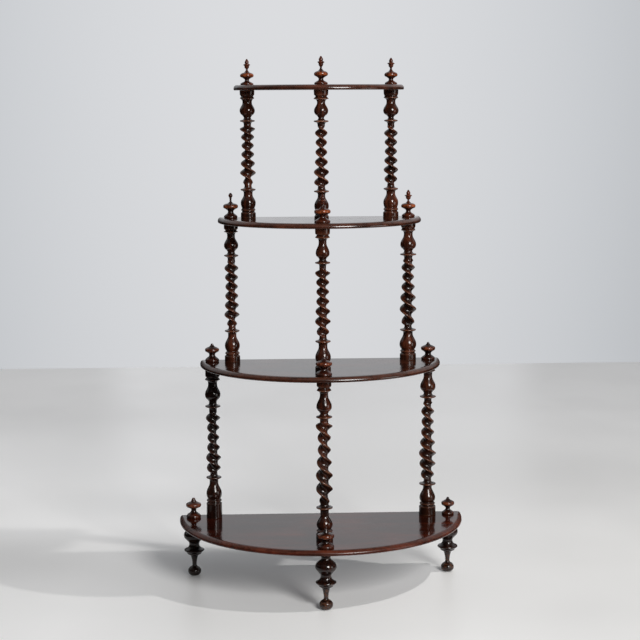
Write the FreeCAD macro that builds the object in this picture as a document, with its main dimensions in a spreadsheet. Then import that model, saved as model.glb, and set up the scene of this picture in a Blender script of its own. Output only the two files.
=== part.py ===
import FreeCAD, Part
import math
import os
import Sketcher
from FreeCAD import Vector, Placement, Rotation

# Four-tier etagere of turned wood.
# Own frame: origin on the floor, in the middle of the footprint; +X to the right as
# seen from the front, +Y towards the straight back edges, +Z up.  Millimetres.
# Every shelf has the same straight back plane and a half-elliptical front.

DOC = FreeCAD.newDocument("etagere")

# ---------------------------------------------------------------- dimensions
# alias, value.  Columns and finials are measured up from the top of the shelf
# they stand on, feet up from the floor.  r is a radius, z a height.
TABLE = [
    # shelves, from the floor up
    ("shelf_thick", "12.5"),
    ("shelfa_top", "146.5"), ("shelfb_top", "537"), ("shelfc_top", "887"), ("shelfd_top", "1203.5"),
    ("shelfa_half", "350"), ("shelfb_half", "294"), ("shelfc_half", "246.5"), ("shelfd_half", "204.5"),
    ("shelfa_depth", "345"), ("shelfb_depth", "276.5"), ("shelfc_depth", "230"), ("shelfd_depth", "181"),
    ("shelf_side", "12"), ("shelf_corner", "8"),
    ("ovolo", "7.8"), ("under_round", "3.6"),
    # where the turned pieces stand: out from the middle, in from the back plane,
    # in from the front of the shelf
    ("posta_x", "315"), ("postb_x", "264"), ("postc_x", "214.5"), ("postd_x", "172"),
    ("post_back", "31"), ("post_front", "31"),
    # joints
    ("spigot_rad", "6.8"), ("spigot_len", "32"), ("spigot_hole_rad", "7.0"), ("socket_deep", "21"),
    ("tenon_rad", "8.0"), ("tenon_len", "9.0"), ("tenon_hole_rad", "8.2"), ("tenon_hole_deep", "9.4"),
    # turned details that all columns share
    ("disc_edge", "1.5"), ("disc_nose", "0.8"), ("disc_flat", "2.6"), ("disc_cove_out", "5.2"), ("disc_cove_up", "5.4"),
    ("ring_lip", "0.9"), ("ring_under", "2.4"), ("ring_cove_out", "3.0"), ("ring_cove_up", "8.6"),
    ("block_round", "1.2"), ("groove_flat", "0.8"), ("groove_drop", "3.6"), ("groove_in", "2.4"), ("foot_block_drop", "6.0"),
    ("swell_z_one", "0.36"), ("swell_r_one", "0.76"), ("swell_z_two", "0.70"), ("swell_r_two", "0.22"),
    ("seat_z", "0.30"), ("seat_r", "0.35"),
    # carved twist: two ridges, left-hand
    ("twist_runout", "10"), ("twist_embed", "3"), ("twist_hollow", "0.66"), ("twist_step", "4.2"),
    # column colc_left: stations up the column and radii there
    ("colc_left_len", "304.0"), ("colc_left_blk_r", "17.4"), ("colc_left_blk2_z", "293.5"), ("colc_left_blk2_r", "17.0"),
    ("colc_left_grv_z", "289.5"), ("colc_left_grv_r", "14.3"), ("colc_left_ring_z", "285.5"), ("colc_left_ring_r", "16.9"),
    ("colc_left_neck1_z", "275.3"), ("colc_left_neck1_r", "10.9"), ("colc_left_bulb_z", "255.9"), ("colc_left_bulb_r", "17.8"),
    ("colc_left_neck2_z", "240.2"), ("colc_left_neck2_r", "8.0"), ("colc_left_disc1_z", "231.8"), ("colc_left_disc1_r", "17.6"),
    ("colc_left_neck3_z", "224.4"), ("colc_left_neck3_r", "8.4"), ("colc_left_disc2_z", "68.0"), ("colc_left_disc2_r", "17.8"),
    ("colc_left_neck4_z", "56.0"), ("colc_left_neck4_r", "10.3"), ("colc_left_vase_z", "36.1"), ("colc_left_vase_r", "17.7"),
    ("colc_left_neck5_z", "23.6"), ("colc_left_neck5_r", "14.5"), ("colc_left_neck6_r", "8.2"), ("colc_left_ring2_z", "18.9"),
    ("colc_left_ring2_r", "17.3"), ("colc_left_base_r", "17.8"), ("colc_left_tw_bot", "76.5"), ("colc_left_tw_top", "221.9"),
    ("colc_left_tw_mid", "149.2"), ("colc_left_tw_turn0", "25.26"), ("colc_left_tw_turn1", "-8.4173"), ("colc_left_tw_turn2", "-0.007238"),
    ("colc_left_lobe1_z", "214.2"), ("colc_left_lobe1_r", "18.1"), ("colc_left_lobe2_z", "194.0"), ("colc_left_lobe2_r", "15.4"),
    ("colc_left_lobe3_z", "173.3"), ("colc_left_lobe3_r", "14.3"), ("colc_left_lobe4_z", "152.1"), ("colc_left_lobe4_r", "15.0"),
    ("colc_left_lobe5_z", "129.9"), ("colc_left_lobe5_r", "16.6"), ("colc_left_lobe6_z", "108.1"), ("colc_left_lobe6_r", "18.4"),
    ("colc_left_lobe7_z", "87.2"), ("colc_left_lobe7_r", "11.5"), ("colc_left_waist1_z", "202.6"), ("colc_left_waist1_r", "8.0"),
    ("colc_left_waist2_z", "183.3"), ("colc_left_waist2_r", "6.5"), ("colc_left_waist3_z", "162.6"), ("colc_left_waist3_r", "6.4"),
    ("colc_left_waist4_z", "141.1"), ("colc_left_waist4_r", "6.1"), ("colc_left_waist5_z", "120.3"), ("colc_left_waist5_r", "7.9"),
    ("colc_left_waist6_z", "96.1"), ("colc_left_waist6_r", "6.6"), ("colc_left_waist7_z", "77.6"), ("colc_left_waist7_r", "7.2"),
    # column colc_front: stations up the column and radii there
    ("colc_front_len", "304.0"), ("colc_front_blk_r", "16.8"), ("colc_front_blk2_z", "292.7"), ("colc_front_blk2_r", "16.2"),
    ("colc_front_grv_z", "288.6"), ("colc_front_grv_r", "12.6"), ("colc_front_ring_z", "284.0"), ("colc_front_ring_r", "17.3"),
    ("colc_front_neck1_z", "274.9"), ("colc_front_neck1_r", "9.1"), ("colc_front_bulb_z", "255.8"), ("colc_front_bulb_r", "16.2"),
    ("colc_front_neck2_z", "240.4"), ("colc_front_neck2_r", "6.1"), ("colc_front_disc1_z", "231.9"), ("colc_front_disc1_r", "17.1"),
    ("colc_front_neck3_z", "224.3"), ("colc_front_neck3_r", "8.2"), ("colc_front_disc2_z", "69.5"), ("colc_front_disc2_r", "17.4"),
    ("colc_front_neck4_z", "59.0"), ("colc_front_neck4_r", "8.3"), ("colc_front_vase_z", "35.9"), ("colc_front_vase_r", "16.6"),
    ("colc_front_neck5_z", "23.7"), ("colc_front_neck5_r", "14.1"), ("colc_front_neck6_r", "8.2"), ("colc_front_ring2_z", "19.0"),
    ("colc_front_ring2_r", "16.9"), ("colc_front_base_r", "16.8"), ("colc_front_tw_bot", "78.0"), ("colc_front_tw_top", "221.8"),
    ("colc_front_tw_mid", "149.9"), ("colc_front_tw_turn0", "81.89"), ("colc_front_tw_turn1", "-7.8959"), ("colc_front_tw_turn2", "-0.003924"),
    ("colc_front_lobe1_z", "204.9"), ("colc_front_lobe1_r", "14.3"), ("colc_front_lobe2_z", "182.7"), ("colc_front_lobe2_r", "13.0"),
    ("colc_front_lobe3_z", "160.8"), ("colc_front_lobe3_r", "13.5"), ("colc_front_lobe4_z", "138.1"), ("colc_front_lobe4_r", "14.8"),
    ("colc_front_lobe5_z", "114.2"), ("colc_front_lobe5_r", "17.4"), ("colc_front_lobe6_z", "92.3"), ("colc_front_lobe6_r", "16.7"),
    ("colc_front_waist1_z", "215.1"), ("colc_front_waist1_r", "4.7"), ("colc_front_waist2_z", "192.7"), ("colc_front_waist2_r", "4.6"),
    ("colc_front_waist3_z", "171.2"), ("colc_front_waist3_r", "3.5"), ("colc_front_waist4_z", "148.7"), ("colc_front_waist4_r", "4.1"),
    ("colc_front_waist5_z", "124.8"), ("colc_front_waist5_r", "4.9"), ("colc_front_waist6_z", "102.3"), ("colc_front_waist6_r", "8.0"),
    ("colc_front_waist7_z", "79.5"), ("colc_front_waist7_r", "6.5"),
    # column colc_right: stations up the column and radii there
    ("colc_right_len", "304.0"), ("colc_right_blk_r", "17.6"), ("colc_right_blk2_z", "293.1"), ("colc_right_blk2_r", "17.0"),
    ("colc_right_grv_z", "288.6"), ("colc_right_grv_r", "15.1"), ("colc_right_ring_z", "285.5"), ("colc_right_ring_r", "17.1"),
    ("colc_right_neck1_z", "274.8"), ("colc_right_neck1_r", "10.3"), ("colc_right_bulb_z", "254.4"), ("colc_right_bulb_r", "18.1"),
    ("colc_right_neck2_z", "239.3"), ("colc_right_neck2_r", "6.2"), ("colc_right_disc1_z", "230.9"), ("colc_right_disc1_r", "16.0"),
    ("colc_right_neck3_z", "222.6"), ("colc_right_neck3_r", "7.8"), ("colc_right_disc2_z", "67.8"), ("colc_right_disc2_r", "17.3"),
    ("colc_right_neck4_z", "57.2"), ("colc_right_neck4_r", "10.1"), ("colc_right_vase_z", "34.5"), ("colc_right_vase_r", "17.7"),
    ("colc_right_neck5_z", "22.7"), ("colc_right_neck5_r", "14.9"), ("colc_right_neck6_r", "8.2"), ("colc_right_ring2_z", "18.3"),
    ("colc_right_ring2_r", "17.9"), ("colc_right_base_r", "18.4"), ("colc_right_tw_bot", "76.3"), ("colc_right_tw_top", "220.1"),
    ("colc_right_tw_mid", "148.2"), ("colc_right_tw_turn0", "72.43"), ("colc_right_tw_turn1", "-8.2039"), ("colc_right_tw_turn2", "-0.001478"),
    ("colc_right_lobe1_z", "199.9"), ("colc_right_lobe1_r", "15.9"), ("colc_right_lobe2_z", "178.4"), ("colc_right_lobe2_r", "14.7"),
    ("colc_right_lobe3_z", "157.9"), ("colc_right_lobe3_r", "14.4"), ("colc_right_lobe4_z", "135.3"), ("colc_right_lobe4_r", "15.6"),
    ("colc_right_lobe5_z", "112.8"), ("colc_right_lobe5_r", "17.1"), ("colc_right_lobe6_z", "90.2"), ("colc_right_lobe6_r", "15.0"),
    ("colc_right_waist1_z", "211.8"), ("colc_right_waist1_r", "5.4"), ("colc_right_waist2_z", "189.2"), ("colc_right_waist2_r", "7.0"),
    ("colc_right_waist3_z", "168.1"), ("colc_right_waist3_r", "6.0"), ("colc_right_waist4_z", "145.6"), ("colc_right_waist4_r", "5.4"),
    ("colc_right_waist5_z", "124.1"), ("colc_right_waist5_r", "5.5"), ("colc_right_waist6_z", "101.7"), ("colc_right_waist6_r", "7.1"),
    ("colc_right_waist7_z", "78.9"), ("colc_right_waist7_r", "7.0"),
    # column colb_left: stations up the column and radii there
    ("colb_left_len", "337.5"), ("colb_left_blk_r", "16.7"), ("colb_left_blk2_z", "324.1"), ("colb_left_blk2_r", "16.6"),
    ("colb_left_grv_z", "319.6"), ("colb_left_grv_r", "13.1"), ("colb_left_ring_z", "317.2"), ("colb_left_ring_r", "16.9"),
    ("colb_left_neck1_z", "305.1"), ("colb_left_neck1_r", "9.0"), ("colb_left_bulb_z", "283.3"), ("colb_left_bulb_r", "16.9"),
    ("colb_left_neck2_z", "268.7"), ("colb_left_neck2_r", "8.3"), ("colb_left_disc1_z", "259.0"), ("colb_left_disc1_r", "17.0"),
    ("colb_left_neck3_z", "250.5"), ("colb_left_neck3_r", "8.5"), ("colb_left_disc2_z", "75.2"), ("colb_left_disc2_r", "17.8"),
    ("colb_left_neck4_z", "63.4"), ("colb_left_neck4_r", "9.7"), ("colb_left_vase_z", "38.7"), ("colb_left_vase_r", "17.9"),
    ("colb_left_neck5_z", "25.3"), ("colb_left_neck5_r", "13.5"), ("colb_left_neck6_r", "8.2"), ("colb_left_ring2_z", "20.0"),
    ("colb_left_ring2_r", "17.8"), ("colb_left_base_r", "18.6"), ("colb_left_tw_bot", "83.7"), ("colb_left_tw_top", "248.0"),
    ("colb_left_tw_mid", "165.8"), ("colb_left_tw_turn0", "140.46"), ("colb_left_tw_turn1", "-7.9054"), ("colb_left_tw_turn2", "-0.001446"),
    ("colb_left_lobe1_z", "228.6"), ("colb_left_lobe1_r", "16.5"), ("colb_left_lobe2_z", "205.5"), ("colb_left_lobe2_r", "15.4"),
    ("colb_left_lobe3_z", "182.8"), ("colb_left_lobe3_r", "14.8"), ("colb_left_lobe4_z", "161.1"), ("colb_left_lobe4_r", "15.5"),
    ("colb_left_lobe5_z", "139.0"), ("colb_left_lobe5_r", "16.5"), ("colb_left_lobe6_z", "114.8"), ("colb_left_lobe6_r", "18.0"),
    ("colb_left_lobe7_z", "94.6"), ("colb_left_lobe7_r", "12.1"), ("colb_left_waist1_z", "239.6"), ("colb_left_waist1_r", "7.9"),
    ("colb_left_waist2_z", "217.7"), ("colb_left_waist2_r", "7.0"), ("colb_left_waist3_z", "194.8"), ("colb_left_waist3_r", "6.9"),
    ("colb_left_waist4_z", "171.3"), ("colb_left_waist4_r", "7.4"), ("colb_left_waist5_z", "149.3"), ("colb_left_waist5_r", "7.5"),
    ("colb_left_waist6_z", "127.3"), ("colb_left_waist6_r", "8.6"), ("colb_left_waist7_z", "102.2"), ("colb_left_waist7_r", "6.9"),
    ("colb_left_waist8_z", "85.5"), ("colb_left_waist8_r", "7.1"),
    # column colb_front: stations up the column and radii there
    ("colb_front_len", "337.5"), ("colb_front_blk_r", "17.2"), ("colb_front_blk2_z", "324.6"), ("colb_front_blk2_r", "16.8"),
    ("colb_front_grv_z", "320.3"), ("colb_front_grv_r", "13.5"), ("colb_front_ring_z", "316.1"), ("colb_front_ring_r", "17.0"),
    ("colb_front_neck1_z", "302.9"), ("colb_front_neck1_r", "8.8"), ("colb_front_bulb_z", "279.0"), ("colb_front_bulb_r", "15.8"),
    ("colb_front_neck2_z", "265.5"), ("colb_front_neck2_r", "7.7"), ("colb_front_disc1_z", "257.1"), ("colb_front_disc1_r", "17.5"),
    ("colb_front_neck3_z", "245.9"), ("colb_front_neck3_r", "7.5"), ("colb_front_disc2_z", "72.9"), ("colb_front_disc2_r", "17.7"),
    ("colb_front_neck4_z", "60.4"), ("colb_front_neck4_r", "9.8"), ("colb_front_vase_z", "34.9"), ("colb_front_vase_r", "17.9"),
    ("colb_front_neck5_z", "23.6"), ("colb_front_neck5_r", "14.6"), ("colb_front_neck6_r", "8.2"), ("colb_front_ring2_z", "19.1"),
    ("colb_front_ring2_r", "17.9"), ("colb_front_base_r", "18.2"), ("colb_front_tw_bot", "81.4"), ("colb_front_tw_top", "243.4"),
    ("colb_front_tw_mid", "162.4"), ("colb_front_tw_turn0", "29.65"), ("colb_front_tw_turn1", "-7.8233"), ("colb_front_tw_turn2", "-0.004228"),
    ("colb_front_lobe1_z", "234.2"), ("colb_front_lobe1_r", "17.3"), ("colb_front_lobe2_z", "211.6"), ("colb_front_lobe2_r", "15.0"),
    ("colb_front_lobe3_z", "189.8"), ("colb_front_lobe3_r", "14.6"), ("colb_front_lobe4_z", "165.7"), ("colb_front_lobe4_r", "14.9"),
    ("colb_front_lobe5_z", "142.9"), ("colb_front_lobe5_r", "16.9"), ("colb_front_lobe6_z", "119.4"), ("colb_front_lobe6_r", "17.9"),
    ("colb_front_lobe7_z", "97.7"), ("colb_front_lobe7_r", "14.3"), ("colb_front_waist1_z", "221.4"), ("colb_front_waist1_r", "6.9"),
    ("colb_front_waist2_z", "199.2"), ("colb_front_waist2_r", "6.5"), ("colb_front_waist3_z", "177.4"), ("colb_front_waist3_r", "6.4"),
    ("colb_front_waist4_z", "154.7"), ("colb_front_waist4_r", "7.3"), ("colb_front_waist5_z", "131.2"), ("colb_front_waist5_r", "8.6"),
    ("colb_front_waist6_z", "106.9"), ("colb_front_waist6_r", "7.3"), ("colb_front_waist7_z", "84.0"), ("colb_front_waist7_r", "6.8"),
    # column colb_right: stations up the column and radii there
    ("colb_right_len", "337.5"), ("colb_right_blk_r", "17.4"), ("colb_right_blk2_z", "325.4"), ("colb_right_blk2_r", "17.2"),
    ("colb_right_grv_z", "321.0"), ("colb_right_grv_r", "15.2"), ("colb_right_ring_z", "317.9"), ("colb_right_ring_r", "17.2"),
    ("colb_right_neck1_z", "306.5"), ("colb_right_neck1_r", "10.3"), ("colb_right_bulb_z", "282.1"), ("colb_right_bulb_r", "18.8"),
    ("colb_right_neck2_z", "267.5"), ("colb_right_neck2_r", "9.6"), ("colb_right_disc1_z", "258.5"), ("colb_right_disc1_r", "19.4"),
    ("colb_right_neck3_z", "251.2"), ("colb_right_neck3_r", "9.4"), ("colb_right_disc2_z", "73.7"), ("colb_right_disc2_r", "19.1"),
    ("colb_right_neck4_z", "65.1"), ("colb_right_neck4_r", "11.1"), ("colb_right_vase_z", "37.3"), ("colb_right_vase_r", "20.2"),
    ("colb_right_neck5_z", "25.4"), ("colb_right_neck5_r", "15.3"), ("colb_right_neck6_r", "8.4"), ("colb_right_ring2_z", "21.0"),
    ("colb_right_ring2_r", "19.0"), ("colb_right_base_r", "19.6"), ("colb_right_tw_bot", "82.2"), ("colb_right_tw_top", "248.7"),
    ("colb_right_tw_mid", "165.4"), ("colb_right_tw_turn0", "90.91"), ("colb_right_tw_turn1", "-6.8642"), ("colb_right_tw_turn2", "-0.009927"),
    ("colb_right_lobe1_z", "242.7"), ("colb_right_lobe1_r", "17.2"), ("colb_right_lobe2_z", "227.3"), ("colb_right_lobe2_r", "16.0"),
    ("colb_right_lobe3_z", "202.6"), ("colb_right_lobe3_r", "14.0"), ("colb_right_lobe4_z", "177.8"), ("colb_right_lobe4_r", "15.9"),
    ("colb_right_lobe5_z", "151.6"), ("colb_right_lobe5_r", "18.4"), ("colb_right_lobe6_z", "124.0"), ("colb_right_lobe6_r", "19.9"),
    ("colb_right_lobe7_z", "98.2"), ("colb_right_lobe7_r", "15.5"), ("colb_right_waist1_z", "235.8"), ("colb_right_waist1_r", "9.2"),
    ("colb_right_waist2_z", "214.3"), ("colb_right_waist2_r", "6.7"), ("colb_right_waist3_z", "191.1"), ("colb_right_waist3_r", "6.0"),
    ("colb_right_waist4_z", "166.1"), ("colb_right_waist4_r", "8.3"), ("colb_right_waist5_z", "138.3"), ("colb_right_waist5_r", "8.7"),
    ("colb_right_waist6_z", "108.3"), ("colb_right_waist6_r", "8.0"), ("colb_right_waist7_z", "85.6"), ("colb_right_waist7_r", "7.8"),
    # column cola_left: stations up the column and radii there
    ("cola_left_len", "378.0"), ("cola_left_blk_r", "17.2"), ("cola_left_blk2_z", "354.1"), ("cola_left_blk2_r", "17.2"),
    ("cola_left_grv_z", "350.7"), ("cola_left_grv_r", "14.6"), ("cola_left_ring_z", "346.2"), ("cola_left_ring_r", "18.2"),
    ("cola_left_neck1_z", "333.3"), ("cola_left_neck1_r", "10.7"), ("cola_left_bulb_z", "307.9"), ("cola_left_bulb_r", "18.6"),
    ("cola_left_neck2_z", "291.0"), ("cola_left_neck2_r", "8.9"), ("cola_left_disc1_z", "279.5"), ("cola_left_disc1_r", "18.3"),
    ("cola_left_neck3_z", "268.5"), ("cola_left_neck3_r", "9.0"), ("cola_left_disc2_z", "101.4"), ("cola_left_disc2_r", "18.4"),
    ("cola_left_neck4_z", "87.7"), ("cola_left_neck4_r", "10.3"), ("cola_left_vase_z", "60.7"), ("cola_left_vase_r", "18.7"),
    ("cola_left_neck5_z", "48.0"), ("cola_left_neck5_r", "15.0"), ("cola_left_neck6_r", "8.4"), ("cola_left_ring2_z", "43.3"),
    ("cola_left_ring2_r", "18.4"), ("cola_left_base_r", "18.9"), ("cola_left_tw_bot", "109.9"), ("cola_left_tw_top", "266.0"),
    ("cola_left_tw_mid", "187.9"), ("cola_left_tw_turn0", "99.70"), ("cola_left_tw_turn1", "-7.2110"), ("cola_left_tw_turn2", "-0.002240"),
    ("cola_left_lobe1_z", "251.8"), ("cola_left_lobe1_r", "17.2"), ("cola_left_lobe2_z", "226.1"), ("cola_left_lobe2_r", "14.8"),
    ("cola_left_lobe3_z", "202.3"), ("cola_left_lobe3_r", "14.2"), ("cola_left_lobe4_z", "176.4"), ("cola_left_lobe4_r", "15.3"),
    ("cola_left_lobe5_z", "151.5"), ("cola_left_lobe5_r", "18.0"), ("cola_left_lobe6_z", "128.1"), ("cola_left_lobe6_r", "16.8"),
    ("cola_left_waist1_z", "238.6"), ("cola_left_waist1_r", "7.1"), ("cola_left_waist2_z", "213.6"), ("cola_left_waist2_r", "6.8"),
    ("cola_left_waist3_z", "188.5"), ("cola_left_waist3_r", "7.3"), ("cola_left_waist4_z", "165.1"), ("cola_left_waist4_r", "8.8"),
    ("cola_left_waist5_z", "138.2"), ("cola_left_waist5_r", "9.8"), ("cola_left_waist6_z", "114.8"), ("cola_left_waist6_r", "7.8"),
    # column cola_front: stations up the column and radii there
    ("cola_front_len", "378.0"), ("cola_front_blk_r", "16.9"), ("cola_front_blk2_z", "365.6"), ("cola_front_blk2_r", "16.7"),
    ("cola_front_grv_z", "361.0"), ("cola_front_grv_r", "13.2"), ("cola_front_ring_z", "355.8"), ("cola_front_ring_r", "16.8"),
    ("cola_front_neck1_z", "343.4"), ("cola_front_neck1_r", "9.3"), ("cola_front_bulb_z", "316.7"), ("cola_front_bulb_r", "17.6"),
    ("cola_front_neck2_z", "301.5"), ("cola_front_neck2_r", "8.8"), ("cola_front_disc1_z", "293.1"), ("cola_front_disc1_r", "18.6"),
    ("cola_front_neck3_z", "284.4"), ("cola_front_neck3_r", "9.4"), ("cola_front_disc2_z", "77.4"), ("cola_front_disc2_r", "19.2"),
    ("cola_front_neck4_z", "60.1"), ("cola_front_neck4_r", "9.5"), ("cola_front_vase_z", "36.5"), ("cola_front_vase_r", "18.6"),
    ("cola_front_neck5_z", "26.4"), ("cola_front_neck5_r", "14.3"), ("cola_front_neck6_r", "9.4"), ("cola_front_ring2_z", "21.6"),
    ("cola_front_ring2_r", "18.9"), ("cola_front_base_r", "19.6"), ("cola_front_tw_bot", "85.9"), ("cola_front_tw_top", "281.9"),
    ("cola_front_tw_mid", "183.9"), ("cola_front_tw_turn0", "4.11"), ("cola_front_tw_turn1", "-5.9204"), ("cola_front_tw_turn2", "-0.003896"),
    ("cola_front_lobe1_z", "272.5"), ("cola_front_lobe1_r", "19.3"), ("cola_front_lobe2_z", "243.6"), ("cola_front_lobe2_r", "15.2"),
    ("cola_front_lobe3_z", "214.4"), ("cola_front_lobe3_r", "15.0"), ("cola_front_lobe4_z", "183.9"), ("cola_front_lobe4_r", "17.3"),
    ("cola_front_lobe5_z", "152.4"), ("cola_front_lobe5_r", "19.5"), ("cola_front_lobe6_z", "120.1"), ("cola_front_lobe6_r", "19.2"),
    ("cola_front_lobe7_z", "95.0"), ("cola_front_lobe7_r", "13.1"), ("cola_front_waist1_z", "255.9"), ("cola_front_waist1_r", "7.4"),
    ("cola_front_waist2_z", "229.8"), ("cola_front_waist2_r", "6.7"), ("cola_front_waist3_z", "200.6"), ("cola_front_waist3_r", "6.7"),
    ("cola_front_waist4_z", "169.6"), ("cola_front_waist4_r", "9.0"), ("cola_front_waist5_z", "137.6"), ("cola_front_waist5_r", "9.4"),
    ("cola_front_waist6_z", "105.8"), ("cola_front_waist6_r", "7.6"), ("cola_front_waist7_z", "86.6"), ("cola_front_waist7_r", "8.8"),
    # column cola_right: stations up the column and radii there
    ("cola_right_len", "378.0"), ("cola_right_blk_r", "17.5"), ("cola_right_blk2_z", "370.8"), ("cola_right_blk2_r", "17.3"),
    ("cola_right_grv_z", "367.0"), ("cola_right_grv_r", "14.6"), ("cola_right_ring_z", "362.5"), ("cola_right_ring_r", "17.7"),
    ("cola_right_neck1_z", "348.3"), ("cola_right_neck1_r", "10.0"), ("cola_right_bulb_z", "322.1"), ("cola_right_bulb_r", "18.5"),
    ("cola_right_neck2_z", "307.1"), ("cola_right_neck2_r", "9.8"), ("cola_right_disc1_z", "297.6"), ("cola_right_disc1_r", "19.5"),
    ("cola_right_neck3_z", "289.6"), ("cola_right_neck3_r", "8.5"), ("cola_right_disc2_z", "78.2"), ("cola_right_disc2_r", "20.2"),
    ("cola_right_neck4_z", "69.6"), ("cola_right_neck4_r", "10.3"), ("cola_right_vase_z", "42.1"), ("cola_right_vase_r", "19.2"),
    ("cola_right_neck5_z", "33.1"), ("cola_right_neck5_r", "15.4"), ("cola_right_neck6_r", "8.9"), ("cola_right_ring2_z", "28.1"),
    ("cola_right_ring2_r", "19.0"), ("cola_right_base_r", "20.4"), ("cola_right_tw_bot", "86.7"), ("cola_right_tw_top", "287.1"),
    ("cola_right_tw_mid", "186.9"), ("cola_right_tw_turn0", "139.30"), ("cola_right_tw_turn1", "-6.8107"), ("cola_right_tw_turn2", "-0.000716"),
    ("cola_right_lobe1_z", "280.3"), ("cola_right_lobe1_r", "13.7"), ("cola_right_lobe2_z", "259.5"), ("cola_right_lobe2_r", "15.6"),
    ("cola_right_lobe3_z", "233.4"), ("cola_right_lobe3_r", "14.8"), ("cola_right_lobe4_z", "207.2"), ("cola_right_lobe4_r", "15.8"),
    ("cola_right_lobe5_z", "181.5"), ("cola_right_lobe5_r", "18.1"), ("cola_right_lobe6_z", "152.2"), ("cola_right_lobe6_r", "20.8"),
    ("cola_right_lobe7_z", "127.9"), ("cola_right_lobe7_r", "19.5"), ("cola_right_lobe8_z", "102.3"), ("cola_right_lobe8_r", "15.9"),
    ("cola_right_waist1_z", "272.0"), ("cola_right_waist1_r", "7.5"), ("cola_right_waist2_z", "247.0"), ("cola_right_waist2_r", "6.5"),
    ("cola_right_waist3_z", "221.8"), ("cola_right_waist3_r", "6.8"), ("cola_right_waist4_z", "194.6"), ("cola_right_waist4_r", "8.4"),
    ("cola_right_waist5_z", "166.9"), ("cola_right_waist5_r", "10.0"), ("cola_right_waist6_z", "141.1"), ("cola_right_waist6_r", "10.3"),
    ("cola_right_waist7_z", "115.3"), ("cola_right_waist7_r", "8.8"), ("cola_right_waist8_z", "90.4"), ("cola_right_waist8_r", "8.3"),
    # finials: tip, knob, collar, spire, ball, waist, base
    ("find_left_tip_z", "62.0"), ("find_left_knob_r", "4.5"), ("find_left_collar_z", "47.6"), ("find_left_collar_r", "8.2"), ("find_left_spire_z", "36.0"), ("find_left_spire_r", "2.1"), ("find_left_ball_z", "22.3"), ("find_left_ball_r", "15.9"), ("find_left_waist_z", "11.6"), ("find_left_waist_r", "4.6"), ("find_left_base_r", "15.3"),
    ("find_front_tip_z", "65.4"), ("find_front_knob_r", "4.8"), ("find_front_collar_z", "50.9"), ("find_front_collar_r", "8.2"), ("find_front_spire_z", "38.6"), ("find_front_spire_r", "2.1"), ("find_front_ball_z", "23.8"), ("find_front_ball_r", "15.9"), ("find_front_waist_z", "12.3"), ("find_front_waist_r", "5.2"), ("find_front_base_r", "15.4"),
    ("find_right_tip_z", "63.8"), ("find_right_knob_r", "4.4"), ("find_right_collar_z", "49.6"), ("find_right_collar_r", "8.7"), ("find_right_spire_z", "37.6"), ("find_right_spire_r", "2.2"), ("find_right_ball_z", "22.9"), ("find_right_ball_r", "15.5"), ("find_right_waist_z", "11.9"), ("find_right_waist_r", "4.9"), ("find_right_base_r", "14.6"),
    ("finc_left_tip_z", "61.0"), ("finc_left_knob_r", "4.7"), ("finc_left_collar_z", "47.7"), ("finc_left_collar_r", "3.2"), ("finc_left_spire_z", "39.5"), ("finc_left_spire_r", "2.0"), ("finc_left_ball_z", "27.9"), ("finc_left_ball_r", "17.6"), ("finc_left_waist_z", "15.2"), ("finc_left_waist_r", "6.2"), ("finc_left_base_r", "16.0"),
    ("finc_front_tip_z", "66.1"), ("finc_front_knob_r", "5.0"), ("finc_front_collar_z", "50.9"), ("finc_front_collar_r", "8.6"), ("finc_front_spire_z", "40.0"), ("finc_front_spire_r", "2.4"), ("finc_front_ball_z", "25.7"), ("finc_front_ball_r", "18.7"), ("finc_front_waist_z", "14.2"), ("finc_front_waist_r", "6.8"), ("finc_front_base_r", "18.1"),
    ("finc_right_tip_z", "65.3"), ("finc_right_knob_r", "4.7"), ("finc_right_collar_z", "50.8"), ("finc_right_collar_r", "8.9"), ("finc_right_spire_z", "39.0"), ("finc_right_spire_r", "2.0"), ("finc_right_ball_z", "25.8"), ("finc_right_ball_r", "17.1"), ("finc_right_waist_z", "13.9"), ("finc_right_waist_r", "5.2"), ("finc_right_base_r", "15.4"),
    ("finb_left_tip_z", "44.6"), ("finb_left_knob_r", "2.9"), ("finb_left_ball_z", "28.8"), ("finb_left_ball_r", "16.9"), ("finb_left_waist_z", "16.8"), ("finb_left_waist_r", "6.8"), ("finb_left_base_r", "16.7"),
    ("finb_front_tip_z", "44.5"), ("finb_front_knob_r", "3.0"), ("finb_front_ball_z", "27.6"), ("finb_front_ball_r", "18.7"), ("finb_front_waist_z", "15.5"), ("finb_front_waist_r", "7.8"), ("finb_front_base_r", "18.6"),
    ("finb_right_tip_z", "43.0"), ("finb_right_knob_r", "2.7"), ("finb_right_ball_z", "27.4"), ("finb_right_ball_r", "17.2"), ("finb_right_waist_z", "14.2"), ("finb_right_waist_r", "6.9"), ("finb_right_base_r", "16.5"),
    ("fina_left_tip_z", "50.5"), ("fina_left_knob_r", "3.6"), ("fina_left_ball_z", "32.2"), ("fina_left_ball_r", "18.5"), ("fina_left_waist_z", "19.2"), ("fina_left_waist_r", "5.8"), ("fina_left_base_r", "17.6"),
    ("fina_front_tip_z", "46.0"), ("fina_front_knob_r", "3.2"), ("fina_front_ball_z", "28.0"), ("fina_front_ball_r", "19.2"), ("fina_front_waist_z", "15.6"), ("fina_front_waist_r", "8.2"), ("fina_front_base_r", "18.8"),
    ("fina_right_tip_z", "43.5"), ("fina_right_knob_r", "2.9"), ("fina_right_ball_z", "27.8"), ("fina_right_ball_r", "15.8"), ("fina_right_waist_z", "14.6"), ("fina_right_waist_r", "5.0"), ("fina_right_base_r", "14.8"),
    # feet: ball, stem, disc, waist, bulb, neck, flange
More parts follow.
